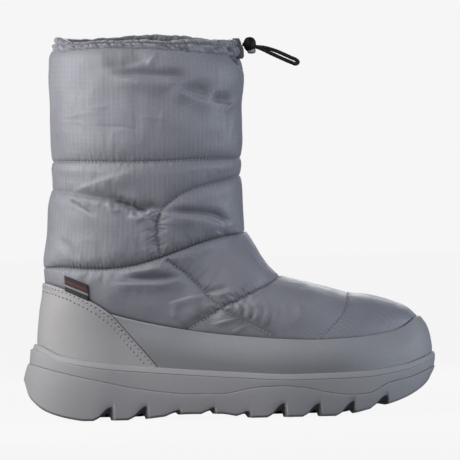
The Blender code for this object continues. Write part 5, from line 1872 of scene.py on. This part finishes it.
class BOOT_OT_sole(BootOperator):
    """Foam midsole, notched rubber outsole and black grip pads"""

    bl_idname = "boot.sole"
    bl_label = "Sole"

    def make(self, sizes, colours, stage):
        self.add_midsole(colours)
        self.add_outsole(colours)
        self.add_pads(colours)

    def stack(self, name, rows):
        """A closed solid from rounded rings, shut across the first and the last."""
        columns = rows.shape[1]
        low_quads, low_ends = across_faces(0, columns)
        high_quads, high_ends = across_faces((len(rows) - 1) * columns, columns)
        quads = np.concatenate((ring_quads(len(rows), columns, False), low_quads[:, ::-1], high_quads))
        return put_mesh(name, rows, [quads, np.concatenate((low_ends[:, ::-1], high_ends))])

    def add_midsole(self, colours):
        """Rings up the cup's side: step over the outsole, hollow face, groove, bevelled lip and rim."""
        rings = [level_ring(name, shift, LEVELS[level], lift) for name, shift, level, lift, _ in MIDSOLE_ROWS]
        mesh = self.stack("midsole_foam", rounded_rows(rings, [row[-1] for row in MIDSOLE_ROWS]))
        add_piece(mesh, skin_material("midsole_foam", colours.foam), ["midsole"])

    def add_outsole(self, colours):
        """Rings down the wall, round the lower edge and in along the roof of the notches."""
        wall = level_ring("parting", 0.0, wall_z)
        middle = level_ring("edge", OUTSOLE_BULGE["out"], bulge_z)
        middle[:, :2] = (middle[:, :2] + wall[:, :2]) / 2
        inner = [level_ring("parting", -WRAP, height) for height in (base_z, wall_z)]
        rows = [*inner, wall, middle, level_ring("edge", 0.0, edge_z)]
        for inward, part, lean in TREAD_ROWS:
            plan = plan_ring("tread", -inward * NOTCH_IN, SOLE_COLUMNS)
            rows.append(lifted(plan, bottom_z(plan[:, 0]) + part * notch_height(plan[:, 0], lean)))
        rows.append(level_ring("tread", -NOTCH_IN - TREAD_MIDDLE["in"], bottom_z, TREAD_MIDDLE["up"]))
        mesh = self.stack("outsole_rubber", rounded_rows(rows, OUTSOLE_RADII))
        add_piece(mesh, skin_material("sole_rubber", colours.rubber), ["outsole"])

    def add_pads(self, colours):
        """Grip pads: a grid along and across, grooved by a wave that bends into chevrons."""
        rows, columns = PAD_GRID
        material = skin_material("grip_rubber", colours.black)
        for name, start, end, lugs in zip(("grip_pad_heel", "grip_pad_forefoot"), *PADS.values()):
            along = np.linspace(start, end, rows)[:, None]
            share = np.linspace(-1, 1, columns)[None, :]
            half = foot_plan(along) - PAD_INSET
            y = plan_centre(along) + half * share
            x = along + 0 * share
            phase = (x - start + PAD_CHEVRON * (1 - np.abs(share))) / (end - start) * lugs
            groove = smooth_step(np.abs(phase % 1 - 0.5), *PAD_CUT)
            ends = smooth_step(np.minimum(x - start, end - x), *PAD_END)
            edge = smooth_step(1 - np.abs(share), 0, PAD_SIDE) * ends
            low = bottom_z(x) + PAD_LIFT + PAD_GROOVE * groove + PAD_GROOVE * (1 - edge)
            high = bottom_z(x) + PAD_DEPTH + 0 * share
            grid = np.concatenate((np.stack((x, y, low), axis=-1), np.stack((x, y, high), axis=-1)))
            mesh = put_mesh(name + "_lugs", grid, [plate_faces(*x.shape)], turn_out=True)
            add_piece(mesh, material, [name])


STEPS = (
    BOOT_OT_stage, BOOT_OT_drawcord, BOOT_OT_upper, BOOT_OT_lining, BOOT_OT_casing, BOOT_OT_overlays,
    BOOT_OT_sole,
)


class BOOT_PT_panel(bpy.types.Panel):
    """Steps and settings of the boot."""

    bl_idname = "BOOT_PT_panel"
    bl_label = "Down Boot"
    bl_space_type = "VIEW_3D"
    bl_region_type = "UI"
    bl_category = "Down Boot"

    def draw(self, context):
        for step in STEPS:
            self.layout.operator(step.bl_idname)
        for group in (context.scene.boot_sizes, context.scene.boot_colours, context.scene.boot_stage):
            box = self.layout.box()
            for key in group.__annotations__:
                box.prop(group, key)


CLASSES = (BootSizes, BootColours, BootStage, *STEPS, BOOT_PT_panel)


def register():
    """Register the classes and hang the settings on the scene."""
    for cls in CLASSES:
        bpy.utils.register_class(cls)
    bpy.types.Scene.boot_sizes = bpy.props.PointerProperty(type=BootSizes)
    bpy.types.Scene.boot_colours = bpy.props.PointerProperty(type=BootColours)
    bpy.types.Scene.boot_stage = bpy.props.PointerProperty(type=BootStage)


def unregister():
    """Take the settings and the classes away again."""
    del bpy.types.Scene.boot_sizes, bpy.types.Scene.boot_colours, bpy.types.Scene.boot_stage
    for cls in reversed(CLASSES):
        bpy.utils.unregister_class(cls)


def main():
    """Run every step in order."""
    register()
    for step in STEPS:
        space, name = step.bl_idname.split(".")
        getattr(getattr(bpy.ops, space), name)()


if __name__ == "__main__":
    main()
